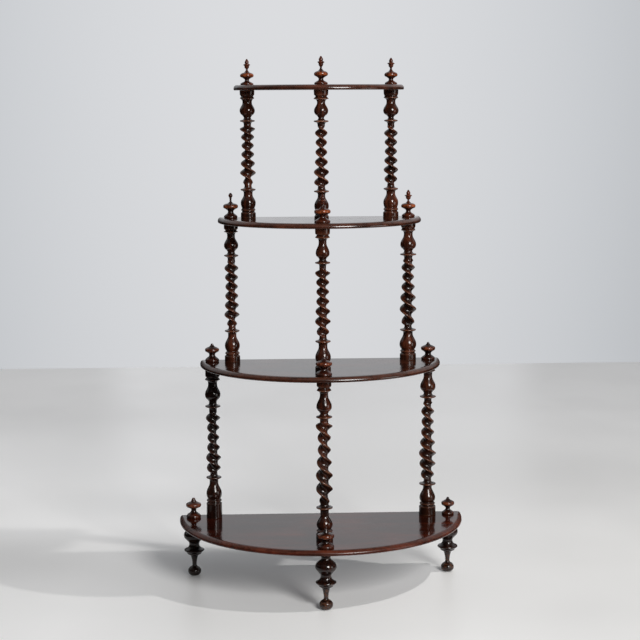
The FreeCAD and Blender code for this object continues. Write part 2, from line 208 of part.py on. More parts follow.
    ("foot_left_pad_r", "7.6"), ("foot_left_ball_z", "11.2"), ("foot_left_ball_r", "16.0"), ("foot_left_stem_z", "27.5"), ("foot_left_stem_r", "5.0"), ("foot_left_disc_z", "64.7"), ("foot_left_disc_r", "24.8"), ("foot_left_waist_z", "79.7"), ("foot_left_waist_r", "12.0"), ("foot_left_bulb_z", "101.9"), ("foot_left_bulb_r", "25.1"), ("foot_left_neck_z", "123.1"), ("foot_left_neck_r", "10.4"), ("foot_left_flange_r", "15.7"),
    ("foot_right_pad_r", "7.6"), ("foot_right_ball_z", "11.2"), ("foot_right_ball_r", "15.9"), ("foot_right_stem_z", "27.5"), ("foot_right_stem_r", "5.0"), ("foot_right_disc_z", "64.7"), ("foot_right_disc_r", "24.9"), ("foot_right_waist_z", "79.7"), ("foot_right_waist_r", "12.0"), ("foot_right_bulb_z", "101.9"), ("foot_right_bulb_r", "25.1"), ("foot_right_neck_z", "123.1"), ("foot_right_neck_r", "10.4"), ("foot_right_flange_r", "15.6"),
    ("foot_front_pad_r", "8.0"), ("foot_front_ball_z", "11.2"), ("foot_front_ball_r", "15.9"), ("foot_front_stem_z", "27.5"), ("foot_front_stem_r", "5.0"), ("foot_front_disc_z", "64.7"), ("foot_front_disc_r", "24.1"), ("foot_front_waist_z", "79.5"), ("foot_front_waist_r", "12.0"), ("foot_front_bulb_z", "101.9"), ("foot_front_bulb_r", "24.7"), ("foot_front_neck_z", "123.1"), ("foot_front_neck_r", "10.4"), ("foot_front_flange_r", "15.6"),
]

SHEET = DOC.addObject("Spreadsheet::Sheet", "dims")
SHEET.Label = "dims"
VALUE = {}
for line, (alias, value) in enumerate(TABLE, start=1):
    SHEET.set("A%d" % line, alias)
    SHEET.set("B%d" % line, value)
    SHEET.setAlias("B%d" % line, alias)
DOC.recompute()
for alias, value in TABLE:
    VALUE[alias] = float(SHEET.get(alias))


class Size:
    """A length that knows both its present value and the formula behind it."""

    def __init__(self, value, formula):
        self.value = value
        self.formula = formula

    def __add__(self, other):
        other = size(other)
        return Size(self.value + other.value, "(%s + %s)" % (self.formula, other.formula))

    def __radd__(self, other):
        return size(other) + self

    def __sub__(self, other):
        other = size(other)
        return Size(self.value - other.value, "(%s - %s)" % (self.formula, other.formula))

    def __rsub__(self, other):
        return size(other) - self

    def __mul__(self, other):
        other = size(other)
        return Size(self.value * other.value, "(%s * %s)" % (self.formula, other.formula))

    def __rmul__(self, other):
        return size(other) * self

    def __truediv__(self, other):
        other = size(other)
        return Size(self.value / other.value, "(%s / %s)" % (self.formula, other.formula))


def size(x):
    if isinstance(x, Size):
        return x
    return Size(float(x), "%.4f" % x)


def dim(alias):
    return Size(VALUE[alias], "dims.%s" % alias)


# ---------------------------------------------------------------- sketches
def plane(body, role):
    for feature in body.Origin.OriginFeatures:
        if feature.Role == role:
            return feature
    raise RuntimeError("no plane " + role)


def new_sketch(body, name, role):
    sketch = body.newObject("Sketcher::SketchObject", name)
    sketch.AttachmentSupport = [(plane(body, role), "")]
    sketch.MapMode = "FlatFace"
    return sketch


def pin_down(sketch, wanted, geo, pos, x, y):
    """Ask for a point of the sketch to lie at x, y from the origin."""
    for axis, kind, s in ((0, "DistanceX", x), (1, "DistanceY", y)):
        if abs(s.value) < 1e-9:
            wanted.append((Sketcher.Constraint("PointOnObject", geo, pos, -2 if axis == 0 else -1), None))
        elif s.value > 0:
            wanted.append((Sketcher.Constraint(kind, -1, 1, geo, pos, s.value), s))
        else:
            wanted.append((Sketcher.Constraint(kind, geo, pos, -1, 1, -s.value), size(0) - s))


def set_constraints(sketch, wanted):
    first = sketch.ConstraintCount
    sketch.addConstraint([c for c, s in wanted])
    for k, (c, s) in enumerate(wanted):
        if s is not None:
            sketch.setExpression("Constraints[%d]" % (first + k), s.formula)


def arc_by_centre(cx, cy, p, q, short=True):
    """Arc from p to q about a centre; returns the arc and which ends p and q became."""
    a = math.atan2(p[1] - cy, p[0] - cx)
    b = math.atan2(q[1] - cy, q[0] - cx)
    sweep = (b - a) % (2 * math.pi)
    radius = math.hypot(p[0] - cx, p[1] - cy)
    circle = Part.Circle(Vector(cx, cy, 0), Vector(0, 0, 1), radius)
    if sweep <= math.pi:
        return Part.ArcOfCircle(circle, a, a + sweep), 1, 2
    return Part.ArcOfCircle(circle, b, b + (2 * math.pi - sweep)), 2, 1


def closed_profile(sketch, points, bends):
    """points: list of (Size, Size).  bends: one entry per edge, from point k to k+1:
    "line", "from" (arc upright at its start), "to" (arc upright at its end) or
    ("radius", Size, side) with side +1 when the centre lies to the left."""
    n = len(points)
    ends = []
    wanted = []
    for k in range(n):
        p = (points[k][0].value, points[k][1].value)
        q = (points[(k + 1) % n][0].value, points[(k + 1) % n][1].value)
        bend = bends[k]
        if bend == "line":
            geo = sketch.addGeometry(Part.LineSegment(Vector(p[0], p[1], 0), Vector(q[0], q[1], 0)), False)
            ends.append((geo, 1, 2))
            continue
        dx, dy = q[0] - p[0], q[1] - p[1]
        if bend in ("from", "to"):
            base, far = (p, q) if bend == "from" else (q, p)
            ex, ey = far[0] - base[0], far[1] - base[1]
            radius = (ex * ex + ey * ey) / (2 * abs(ex))
            cx = base[0] + math.copysign(radius, ex)
            arc, one, two = arc_by_centre(cx, base[1], p, q)
            geo = sketch.addGeometry(arc, False)
            ends.append((geo, one, two))
            wanted.append((Sketcher.Constraint("Horizontal", geo, 3, geo, one if bend == "from" else two), None))
        else:
            radius, side = bend[1], bend[2]
            half = math.hypot(dx, dy) / 2
            rise = math.sqrt(max(radius.value ** 2 - half ** 2, 0))
            cx = (p[0] + q[0]) / 2 - side * dy / (2 * half) * rise
            cy = (p[1] + q[1]) / 2 + side * dx / (2 * half) * rise
            arc, one, two = arc_by_centre(cx, cy, p, q)
            geo = sketch.addGeometry(arc, False)
            ends.append((geo, one, two))
            wanted.append((Sketcher.Constraint("Radius", geo, radius.value), radius))
    for k in range(n):
        here, there = ends[k], ends[(k + 1) % n]
        wanted.append((Sketcher.Constraint("Coincident", here[0], here[2], there[0], there[1]), None))
    for k in range(n):
        pin_down(sketch, wanted, ends[k][0], ends[k][1], points[k][0], points[k][1])
    set_constraints(sketch, wanted)


def turned(body, name, points, bends):
    """A full turn of a closed profile that lies in the body's XZ plane."""
    sketch = new_sketch(body, name + "_profile", "XZ_Plane")
    closed_profile(sketch, points, bends)
    turn = body.newObject("PartDesign::Revolution", name)
    turn.Profile = sketch
    turn.ReferenceAxis = (sketch, ["V_Axis"])
    turn.Angle = 360
    sketch.Visibility = False
    return turn


def bored(body, name, height, radius, depth, spots):
    """Round holes sunk from a level face; spots are centres as pairs of Size."""
    sketch = new_sketch(body, name + "_circles", "XY_Plane")
    sketch.setExpression("AttachmentOffset.Base.z", height.formula)
    wanted = []
    for x, y in spots:
        geo = sketch.addGeometry(Part.Circle(Vector(x.value, y.value, 0), Vector(0, 0, 1), radius.value), False)
        wanted.append((Sketcher.Constraint("Radius", geo, radius.value), radius))
        pin_down(sketch, wanted, geo, 3, x, y)
    set_constraints(sketch, wanted)
    hole = body.newObject("PartDesign::Pocket", name)
    hole.Profile = sketch
    if depth is None:
        hole.Type = "ThroughAll"
    else:
        hole.Type = "Length"
        hole.Length = depth.value
        hole.setExpression("Length", depth.formula)
    sketch.Visibility = False
    return hole


PIECES = []


def new_body(label, x, y, z):
    """A body standing at x, y, z: three Sizes in the etagere's frame."""
    body = DOC.addObject("PartDesign::Body", label)
    body.Label = label
    body.Placement = Placement(Vector(x.value, y.value, z.value), Rotation())
    body.setExpression("Placement.Base.x", x.formula)
    body.setExpression("Placement.Base.y", y.formula)
    body.setExpression("Placement.Base.z", z.formula)
    PIECES.append(body)
    return body


# ---------------------------------------------------------------- placing
BACK = dim("shelfa_depth") / 2
LEVELS = "abcd"
SIDES = ("left", "right", "front")


def shelf_top(level):
    return dim("shelf%s_top" % level)


def post_spot(level, side):
    """Axis of the turned pieces that stack up at one corner of a shelf."""
    if side == "front":
        return size(0), BACK - dim("shelf%s_depth" % level) + dim("post_front")
    x = dim("post%s_x" % level)
    if side == "left":
        x = size(0) - x
    return x, BACK - dim("post_back")


# ---------------------------------------------------------------- shelves
def shelf_outline(sketch, half, depth, inset):
    """Straight back, small round back corners, short straight sides, half ellipse."""
    a = half - inset
    back = BACK - inset
    side = BACK - dim("shelf_side")
    corner = dim("shelf_corner") - inset * 0.5
    front = BACK - depth + inset
    av, bv, sv, cv, fv = a.value, back.value, side.value, corner.value, front.value
    wanted = []
    ell = Part.Ellipse(Vector(av, sv, 0), Vector(0, 2 * sv - fv, 0), Vector(0, sv, 0))
    arc = sketch.addGeometry(Part.ArcOfEllipse(ell, math.pi, 2 * math.pi), False)
    right = sketch.addGeometry(Part.LineSegment(Vector(av, sv, 0), Vector(av, bv - cv, 0)), False)
    turn_r = sketch.addGeometry(Part.ArcOfCircle(Part.Circle(Vector(av - cv, bv - cv, 0), Vector(0, 0, 1), cv), 0, math.pi / 2), False)
    rear = sketch.addGeometry(Part.LineSegment(Vector(av - cv, bv, 0), Vector(-av + cv, bv, 0)), False)
    turn_l = sketch.addGeometry(Part.ArcOfCircle(Part.Circle(Vector(-av + cv, bv - cv, 0), Vector(0, 0, 1), cv), math.pi / 2, math.pi), False)
    left = sketch.addGeometry(Part.LineSegment(Vector(-av, bv - cv, 0), Vector(-av, sv, 0)), False)
    for one, end, two, start in ((arc, 2, right, 1), (right, 2, turn_r, 1), (turn_r, 2, rear, 1),
                                 (rear, 2, turn_l, 1), (turn_l, 2, left, 1), (left, 2, arc, 1)):
        wanted.append((Sketcher.Constraint("Coincident", one, end, two, start), None))
    set_constraints(sketch, wanted)
    sketch.exposeInternalGeometry(arc)
    axes = [g for g in range(sketch.GeometryCount) if g > left and isinstance(sketch.Geometry[g], Part.LineSegment)]
    wanted = []
    for g in axes:
        line = sketch.Geometry[g]
        if abs(line.StartPoint.y - line.EndPoint.y) > 1:
            low = 1 if line.StartPoint.y < line.EndPoint.y else 2
            wanted.append((Sketcher.Constraint("DistanceY", g, low, -1, 1, -fv), size(0) - front))
            wanted.append((Sketcher.Constraint("PointOnObject", g, low, -2), None))
        else:
            wanted.append((Sketcher.Constraint("Horizontal", g), None))
    pin_down(sketch, wanted, right, 1, a, side)
    pin_down(sketch, wanted, turn_r, 1, a, back - corner)
    pin_down(sketch, wanted, turn_r, 2, a - corner, back)
    pin_down(sketch, wanted, turn_l, 1, corner - a, back)
    pin_down(sketch, wanted, turn_l, 2, size(0) - a, back - corner)
    wanted.append((Sketcher.Constraint("DistanceY", -1, 1, left, 2, sv), side))
    wanted.append((Sketcher.Constraint("DistanceY", -1, 1, arc, 3, sv), side))
    wanted.append((Sketcher.Constraint("Radius", turn_r, cv), corner))
    wanted.append((Sketcher.Constraint("Radius", turn_l, cv), corner))
    set_constraints(sketch, wanted)


def rim(shape, z):
    """Names of the edges that lie level at one height."""
    names = []
    for k, edge in enumerate(shape.Edges, start=1):
        box = edge.BoundBox
        if abs(box.ZMin - z) < 1e-4 and abs(box.ZMax - z) < 1e-4:
            names.append("Edge%d" % k)
    return names


def round_rim(body, name, base, z, radius):
    DOC.recompute()
    edge_round = body.newObject("PartDesign::Fillet", name)
    edge_round.Base = (base, rim(base.Shape, z))
    edge_round.Radius = radius.value
    edge_round.setExpression("Radius", radius.formula)
    return edge_round


def make_shelf(level, label):
    half, depth = dim("shelf%s_half" % level), dim("shelf%s_depth" % level)
    thick = dim("shelf_thick")
    body = new_body(label, size(0), size(0), shelf_top(level) - thick)
    sketch = new_sketch(body, label + "_outline", "XY_Plane")
    shelf_outline(sketch, half, depth, size(0))
    board = body.newObject("PartDesign::Pad", label + "_board")
    board.Profile = sketch
    board.Length = thick.value
    board.setExpression("Length", thick.formula)
    sketch.Visibility = False
    ovolo = round_rim(body, label + "_ovolo", board, thick.value, dim("ovolo"))
    round_rim(body, label + "_under_round", ovolo, 0.0, dim("under_round"))
    DOC.recompute()
    last = bored(body, label + "_spigot_holes", thick, dim("spigot_hole_rad"), None,
                 [post_spot(level, side) for side in SIDES])
    if level != "d":
        above = LEVELS[LEVELS.index(level) + 1]
        last = bored(body, label + "_tenon_holes", thick, dim("tenon_hole_rad"), dim("tenon_hole_deep"),
                     [post_spot(above, side) for side in SIDES])
    body.Tip = last
    DOC.recompute()


# ---------------------------------------------------------------- carved twist
AROUND = 24


def section_radius(angle, reach, ridge, hollow):
    """Two round ridges of radius ridge reaching out to reach, joined by a thinner web."""
    out = reach - ridge
    c, s = abs(math.cos(angle)), abs(math.sin(angle))
    far = 0.0
    if out * s < ridge:
        far = out * c + math.sqrt(max(ridge * ridge - (out * s) ** 2, 0.0))
    return (far ** 4 + hollow ** 4) ** 0.25


def between(stations, z):
    """Straight interpolation in a list of (z, r) sorted from high to low."""
    if z >= stations[0][0]:
        return stations[0][1]
    for (z1, r1), (z2, r2) in zip(stations, stations[1:]):
        if z >= z2:
            return r2 + (r1 - r2) * (z - z2) / (z1 - z2)
    return stations[-1][1]


def stations_of(key, kind):
    found, k = [], 1
    while "%s_%s%d_z" % (key, kind, k) in VALUE:
        found.append((float(SHEET.get("%s_%s%d_z" % (key, kind, k))), float(SHEET.get("%s_%s%d_r" % (key, kind, k)))))
        k += 1
    return found


def ease(x):
    x = max(0.0, min(1.0, x))
    return x * x * (3 - 2 * x)


def twist_solid(key):
    """The carved length of one column, with its two ends sunk into the turned necks."""
    low, high = float(SHEET.get(key + "_tw_bot")), float(SHEET.get(key + "_tw_top"))
    middle = float(SHEET.get(key + "_tw_mid"))
    turn0, turn1, turn2 = (float(SHEET.get(key + "_tw_turn%d" % k)) for k in range(3))
    neck_low, neck_high = float(SHEET.get(key + "_neck6_r")), float(SHEET.get(key + "_neck3_r"))
    lobes, waists = stations_of(key, "lobe"), stations_of(key, "waist")
    embed, runout = float(SHEET.get("twist_embed")), float(SHEET.get("twist_runout"))
    web, step = float(SHEET.get("twist_hollow")), float(SHEET.get("twist_step"))
    z0, z1 = low - embed, high + embed
    count = int(math.ceil((z1 - z0) / step))
    rows = []
    for k in range(count + 1):
        z = z0 + (z1 - z0) * k / count
        turn = math.radians(turn0 + turn1 * (z - middle) + turn2 * (z - middle) ** 2)
        inside = min(z - low, high - z)
        neck = (neck_low if z < middle else neck_high) - 0.6
        grow = ease(inside / runout)
        reach = neck + (between(lobes, z) - neck) * grow
        ridge = neck - 0.3 + (between(waists, z) - neck + 0.3) * grow
        if inside < 0:
            reach += 0.7 * inside
            ridge += 0.7 * inside
        ridge = min(ridge, reach - 0.2)
        hollow = min(web * ridge if inside > 0 else 5.0, 0.9 * ridge)
        row = []
        for j in range(AROUND):
            angle = 2 * math.pi * j / AROUND
            r = section_radius(angle, reach, ridge, hollow)
            row.append(Vector(r * math.cos(angle + turn), r * math.sin(angle + turn), z))
        rows.append(row)
    along = [float(k) for k in range(count + 1)]
    rails = []
    for j in range(AROUND):
        rail = Part.BSplineCurve()
        rail.interpolate(Points=[row[j] for row in rows], Parameters=along)
        rails.append(rail)
    around = [float(j) for j in range(AROUND + 1)]
    poles = []
    for k in range(rails[0].NbPoles):
        ring = Part.BSplineCurve()
        ring.interpolate(Points=[rail.getPole(k + 1) for rail in rails], Parameters=around, PeriodicFlag=True)
        poles.append(ring.getPoles())
    skin = Part.BSplineSurface()
    skin.buildFromPolesMultsKnots(poles, rails[0].getMultiplicities(), ring.getMultiplicities(),
                                  rails[0].getKnots(), ring.getKnots(), False, True, 3, 3)
    wall = skin.toShape()
    lids = []
    for edge in wall.Edges:
        if edge.isClosed() and edge.BoundBox.ZLength < 0.01:
            lid = Part.Face(Part.Wire([edge]))
            up = 1 if edge.BoundBox.ZMin > middle else -1
            if lid.normalAt(0, 0).z * up < 0:
                lid.reverse()
            lids.append(lid)
    spot, normal = wall.valueAt(1, 0), wall.normalAt(1, 0)
    if spot.x * normal.x + spot.y * normal.y < 0:
        wall.reverse()
    solid = Part.makeSolid(Part.makeShell([wall] + lids))
    if not solid.isValid() or solid.Volume <= 0:
        raise RuntimeError("twist of %s is not a sound solid" % key)
    return solid


# ---------------------------------------------------------------- turned parts
def disc(radius, height, below, above, points, bends):
    """A thin sharp disc between two necks, added going up."""
    edge, nose = dim("disc_edge"), dim("disc_nose")
    flat, out, up = dim("disc_flat"), dim("disc_cove_out"), dim("disc_cove_up")
    tip = (edge * edge + nose * nose) / (nose * 2)
    points += [(below, height - flat - up), (below + out, height - flat), (radius - nose, height - edge),
               (radius - nose, height + edge), (above + out, height + flat), (above, height + flat + up)]
    bends += ["from", "line", ("radius", tip, 1), "line", "to"]


def swell(low_r, low_z, high_r, high_z, points, bends):
    """The long side of a bulb: round at the belly, hollow towards the neck, going up."""
    run, drop = high_z - low_z, low_r - high_r
    points += [(high_r + drop * dim("swell_r_one"), low_z + run * dim("swell_z_one")),
               (high_r + drop * dim("swell_r_two"), low_z + run * dim("swell_z_two")),
               (high_r, high_z)]
    bends += ["from", "line", "to"]


def make_column(key, label, x, y, z):
    g = lambda name: dim("%s_%s" % (key, name))
    twist = DOC.addObject("Part::Feature", label + "_twist")
    twist.Label = label + "_twist"
    twist.Shape = twist_solid(key)
    twist.Placement = Placement()
    twist.Visibility = False
    body = new_body(label, x, y, z)
    body.BaseFeature = twist
    DOC.recompute()
    zero = size(0)

    # upper turning, from the twist up to the plain block under the next shelf
    points = [(zero, g("tw_top")), (g("neck3_r"), g("tw_top"))]
    bends = ["line", "line"]
    disc(g("disc1_r"), g("disc1_z"), g("neck3_r"), g("neck2_r"), points, bends)
    bends.append("line")
    rise, gain = g("bulb_z") - g("neck2_z"), g("bulb_r") - g("neck2_r")
    points += [(g("neck2_r"), g("neck2_z")),
               (g("neck2_r") + gain * dim("seat_r"), g("neck2_z") + rise * dim("seat_z")),
               (g("bulb_r"), g("bulb_z"))]
    bends += ["line", "to"]
    swell(g("bulb_r"), g("bulb_z"), g("neck1_r"), g("neck1_z"), points, bends)
    bends.append("line")
    points += [(g("neck1_r"), g("ring_z") - dim("ring_cove_up")),
               (g("neck1_r") + dim("ring_cove_out"), g("ring_z") - dim("ring_under")),
               (g("ring_r") - 0.4, g("ring_z") - dim("ring_lip")),
               (g("ring_r"), g("ring_z")),
               (g("grv_r"), g("grv_z")),
               (g("grv_r"), g("grv_z") + dim("groove_flat")),
               (g("blk2_r") - dim("block_round"), g("blk2_z") - dim("block_round")),
               (g("blk2_r"), g("blk2_z") + dim("block_round") * 0.7),
               (g("blk_r"), g("len")),
               (zero, g("len"))]
    bends += ["from", "line", "line", "line", "line", "line", "to", "line", "line", "line"]
    turned(body, label + "_upper_turning", points, bends)
    DOC.recompute()

    # lower turning, from the tenon up to the twist
    top = g("ring2_z") - dim("foot_block_drop")
    groove = g("ring2_r") - dim("groove_in")
    points = [(zero, zero - dim("tenon_len")), (dim("tenon_rad"), zero - dim("tenon_len")),
              (dim("tenon_rad"), zero), (g("base_r") - 0.6, zero), (g("base_r"), size(0.7)),
              (g("base_r") - 0.3, top - dim("block_round")), (g("base_r") - dim("block_round") - 0.3, top),
              (groove, g("ring2_z") - dim("groove_drop")),
              (groove, g("ring2_z") - dim("groove_drop") + dim("groove_flat")),
              (g("ring2_r"), g("ring2_z")),
              (g("ring2_r") - 0.5, g("ring2_z") + dim("ring_lip")),
              (g("neck5_r"), g("neck5_z")),
              (g("vase_r"), g("vase_z"))]
    bends = ["line", "line", "line", "line", "line", "from", "line", "line", "line", "line", "line", "to"]
    swell(g("vase_r"), g("vase_z"), g("neck4_r"), g("neck4_z"), points, bends)
    bends.append("line")
    disc(g("disc2_r"), g("disc2_z"), g("neck4_r"), g("neck6_r"), points, bends)
    bends.append("line")
    points += [(g("neck6_r"), g("tw_bot")), (zero, g("tw_bot"))]
    bends += ["line", "line"]
    turned(body, label + "_lower_turning", points, bends)
    DOC.recompute()

    last = bored(body, label + "_socket", g("len"), dim("spigot_hole_rad"), dim("socket_deep"), [(zero, zero)])
    body.Tip = last
    DOC.recompute()


def make_finial(key, label, x, y, z, tall):
    g = lambda name: dim("%s_%s" % (key, name))
    zero = size(0)
    body = new_body(label, x, y, z)
    rad, run = dim("spigot_rad"), zero - dim("spigot_len")
    swell = g("base_r") - g("waist_r")
    flare = g("ball_r") - g("waist_r")
    climb = g("ball_z") - g("waist_z")
    points = [(zero, run), (rad, run), (rad, zero), (g("base_r") - 0.8, zero), (g("base_r"), g("waist_z") * 0.2),
              (g("base_r") - swell * 0.08, g("waist_z") * 0.36), (g("waist_r") + swell * 0.68, g("waist_z") * 0.50),
              (g("waist_r") + swell * 0.30, g("waist_z") * 0.67), (g("waist_r"), g("waist_z")),
              (g("waist_r") + flare * 0.16, g("waist_z") + climb * 0.28),
              (g("waist_r") + flare * 0.48, g("waist_z") + climb * 0.48),
              (g("waist_r") + flare * 0.88, g("waist_z") + climb * 0.67), (g("ball_r"), g("ball_z"))]
    bends = ["line", "line", "line", "to", "from", "line", "line", "to", "from", "line", "line", "to"]
    if tall:
        points += [(g("ball_r") - 0.7, g("ball_z") + 2.8), (g("ball_r") - 2.2, g("ball_z") + 4.5),
                   (g("ball_r") - 5.0, g("ball_z") + 5.9), (g("spire_r") + 4.6, g("ball_z") + 7.2),
                   (g("spire_r") + 2.2, g("ball_z") + 9.2), (g("spire_r") + 0.8, g("ball_z") + 11.3),
                   (g("spire_r"), g("spire_z")),
                   (g("spire_r") + 0.6, g("spire_z") + 2.6), (g("collar_r") * 0.6, g("collar_z") - 5.6),
                   (g("collar_r") * 0.54, g("collar_z") - 2.0), (g("collar_r") - 1.1, g("collar_z") - 1.2),
                   (g("collar_r"), g("collar_z")), (g("collar_r") - 1.1, g("collar_z") + 1.2),
                   (g("knob_r") * 0.78, g("collar_z") + 2.9), (g("knob_r"), g("collar_z") + 5.8),
                   (g("knob_r") * 0.9, g("collar_z") + 8.2), (g("knob_r") * 0.6, g("collar_z") + 10.6),
                   (g("knob_r") * 0.3, g("tip_z") - 1.0), (zero, g("tip_z"))]
        bends += ["from", "line", "line", "line", "line", "line", "to", "from", "to", "from", "line", "line", "line",
                  "line", "to", "from", "line", "line", "line"]
    else:
        points += [(g("ball_r") - 1.1, g("ball_z") + 3.3), (g("ball_r") * 0.68, g("ball_z") + 5.8),
                   (g("knob_r") + 3.5, g("ball_z") + 8.0), (g("knob_r") + 0.8, g("tip_z") - 4.8),
                   (g("knob_r"), g("tip_z") - 2.8), (g("knob_r") * 0.5, g("tip_z") - 0.6), (zero, g("tip_z"))]
        bends += ["from", "line", "line", "line", "to", "from", "line"]
    bends += ["line"]
    body.Tip = turned(body, label + "_turning", points, bends)
    DOC.recompute()


def make_foot(key, label, x, y):
    g = lambda name: dim("%s_%s" % (key, name))
    zero = size(0)
    body = new_body(label, x, y, zero)
    top = shelf_top("a") - dim("shelf_thick")
    points = [(zero, zero), (g("pad_r"), zero), (g("ball_r"), g("ball_z")), (g("ball_r") * 0.93, g("ball_z") + 4.8),
              (g("ball_r") * 0.74, g("ball_z") + 8.8), (g("ball_r") * 0.48, g("ball_z") + 11.4),
              (g("stem_r") + 0.9, g("ball_z") + 13.0), (g("stem_r"), g("stem_z")),
              (g("stem_r") + 4.1, g("disc_z") - 13.7), (g("disc_r") - 8.0, g("disc_z") - 9.5),
              (g("disc_r") - 6.4, g("disc_z") - 5.9), (g("disc_r") - 0.7, g("disc_z") - 1.5),
              (g("disc_r"), g("disc_z")), (g("disc_r") - 1.0, g("disc_z") + 1.9),
              (g("waist_r") + 4.7, g("disc_z") + 5.3), (g("waist_r"), g("waist_z")),
              (g("waist_r") + 4.1, g("waist_z") + 8.1), (g("bulb_r") - 2.2, g("bulb_z") - 6.6),
              (g("bulb_r"), g("bulb_z")), (g("bulb_r") - 3.8, g("bulb_z") + 9.4),
              (g("neck_r") + 4.2, g("neck_z") - 6.2), (g("neck_r"), g("neck_z")),
              (g("neck_r") + 3.4, top - 5.6), (g("flange_r"), top - 4.4), (g("flange_r"), top), (zero, top)]
    bends = ["line", "to", "from", "line", "line", "line", "to", "from", "line", "line", "line", "line", "line",
             "line", "to", "from", "line", "to", "from", "line", "to", "from", "line", "line", "line", "line"]
    turned(body, label + "_turning", points, bends)
    DOC.recompute()
    body.Tip = bored(body, label + "_socket", top, dim("spigot_hole_rad"), dim("socket_deep"), [(zero, zero)])
    DOC.recompute()


# ---------------------------------------------------------------- assembly
SHELF_NAMES = {"a": "bottom_shelf", "b": "lower_shelf", "c": "upper_shelf", "d": "top_shelf"}
FINIAL_NAMES = {"a": "bottom_finial", "b": "lower_finial", "c": "upper_finial", "d": "top_finial"}
COLUMN_NAMES = {"a": "lower_column", "b": "middle_column", "c": "upper_column"}

for level in LEVELS:
    make_shelf(level, SHELF_NAMES[level])

for side in SIDES:
    fx, fy = post_spot("a", side)
    make_foot("foot_" + side, "foot_" + side, fx, fy)

for level in "abc":
    over = LEVELS[LEVELS.index(level) + 1]
    for side in SIDES:
        cx, cy = post_spot(over, side)
        make_column("col%s_%s" % (level, side), "%s_%s" % (COLUMN_NAMES[level], side), cx, cy, shelf_top(level))

for level in LEVELS:
    for side in SIDES:
        fx, fy = post_spot(level, side)
        make_finial("fin%s_%s" % (level, side), "%s_%s" % (FINIAL_NAMES[level], side), fx, fy, shelf_top(level),
                    level in "cd")

DOC.recompute()
os.makedirs("parts", exist_ok=True)
for thing in DOC.Objects:
    if "Invalid" in thing.State or "Error" in thing.State:
        raise RuntimeError("%s is in state %s" % (thing.Name, thing.State))
for body in PIECES:
    shape = body.Shape
    if shape.isNull() or not shape.isValid() or len(shape.Solids) != 1:
        raise RuntimeError("%s is not one sound solid" % body.Label)
for body in PIECES:
    body.Shape.exportStep("parts/%s.step" % body.Label)
    box = body.Shape.BoundBox
    print("%-22s %9.0f mm3  x %.1f %.1f  y %.1f %.1f  z %.1f %.1f" % (
        body.Label, body.Shape.Volume, box.XMin, box.XMax, box.YMin, box.YMax, box.ZMin, box.ZMax))
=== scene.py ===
import math

import bpy
import numpy as np
from mathutils import Matrix, Vector
from mathutils.geometry import delaunay_2d_cdt


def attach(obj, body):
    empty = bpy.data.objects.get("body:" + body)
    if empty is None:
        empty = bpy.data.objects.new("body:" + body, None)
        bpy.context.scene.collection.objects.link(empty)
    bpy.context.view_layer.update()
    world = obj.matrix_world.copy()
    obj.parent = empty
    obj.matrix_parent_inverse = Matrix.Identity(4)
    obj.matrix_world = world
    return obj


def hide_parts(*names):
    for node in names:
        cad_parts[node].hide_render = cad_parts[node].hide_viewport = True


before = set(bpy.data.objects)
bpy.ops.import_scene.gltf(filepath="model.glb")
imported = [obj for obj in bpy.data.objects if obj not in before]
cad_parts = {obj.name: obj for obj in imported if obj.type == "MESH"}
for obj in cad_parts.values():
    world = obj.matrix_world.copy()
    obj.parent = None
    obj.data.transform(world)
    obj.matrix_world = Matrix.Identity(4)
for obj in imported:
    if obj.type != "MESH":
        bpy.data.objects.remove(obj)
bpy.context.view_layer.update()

# Four-tier etagere of turned wood.  Numbers below are millimetres in the frame of the
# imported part: origin on the floor in the middle of the footprint, +Y to the straight
# backs, +Z up.  Meshes are written in metres.
MM = 0.001

# ---------------------------------------------------------------- sizes of the part
THICK = 12.5
SHELF_TOP = {"a": 146.5, "b": 537.0, "c": 887.0, "d": 1203.5}
SHELF_HALF = {"a": 350.0, "b": 294.0, "c": 246.5, "d": 204.5}
SHELF_DEPTH = {"a": 345.0, "b": 276.5, "c": 230.0, "d": 181.0}
POST_X = {"a": 315.0, "b": 264.0, "c": 214.5, "d": 172.0}
POST_BACK, POST_FRONT = 31.0, 31.0
BACK = SHELF_DEPTH["a"] / 2
SHELF_SIDE, SHELF_CORNER = 12.0, 8.0
SHELF_NAMES = {"a": "bottom_shelf", "b": "lower_shelf", "c": "upper_shelf", "d": "top_shelf"}
FINIAL_NAMES = {"a": "bottom_finial", "b": "lower_finial", "c": "upper_finial", "d": "top_finial"}
COLUMN_NAMES = {"a": "lower_column", "b": "middle_column", "c": "upper_column"}
SIDES = ("left", "right", "front")

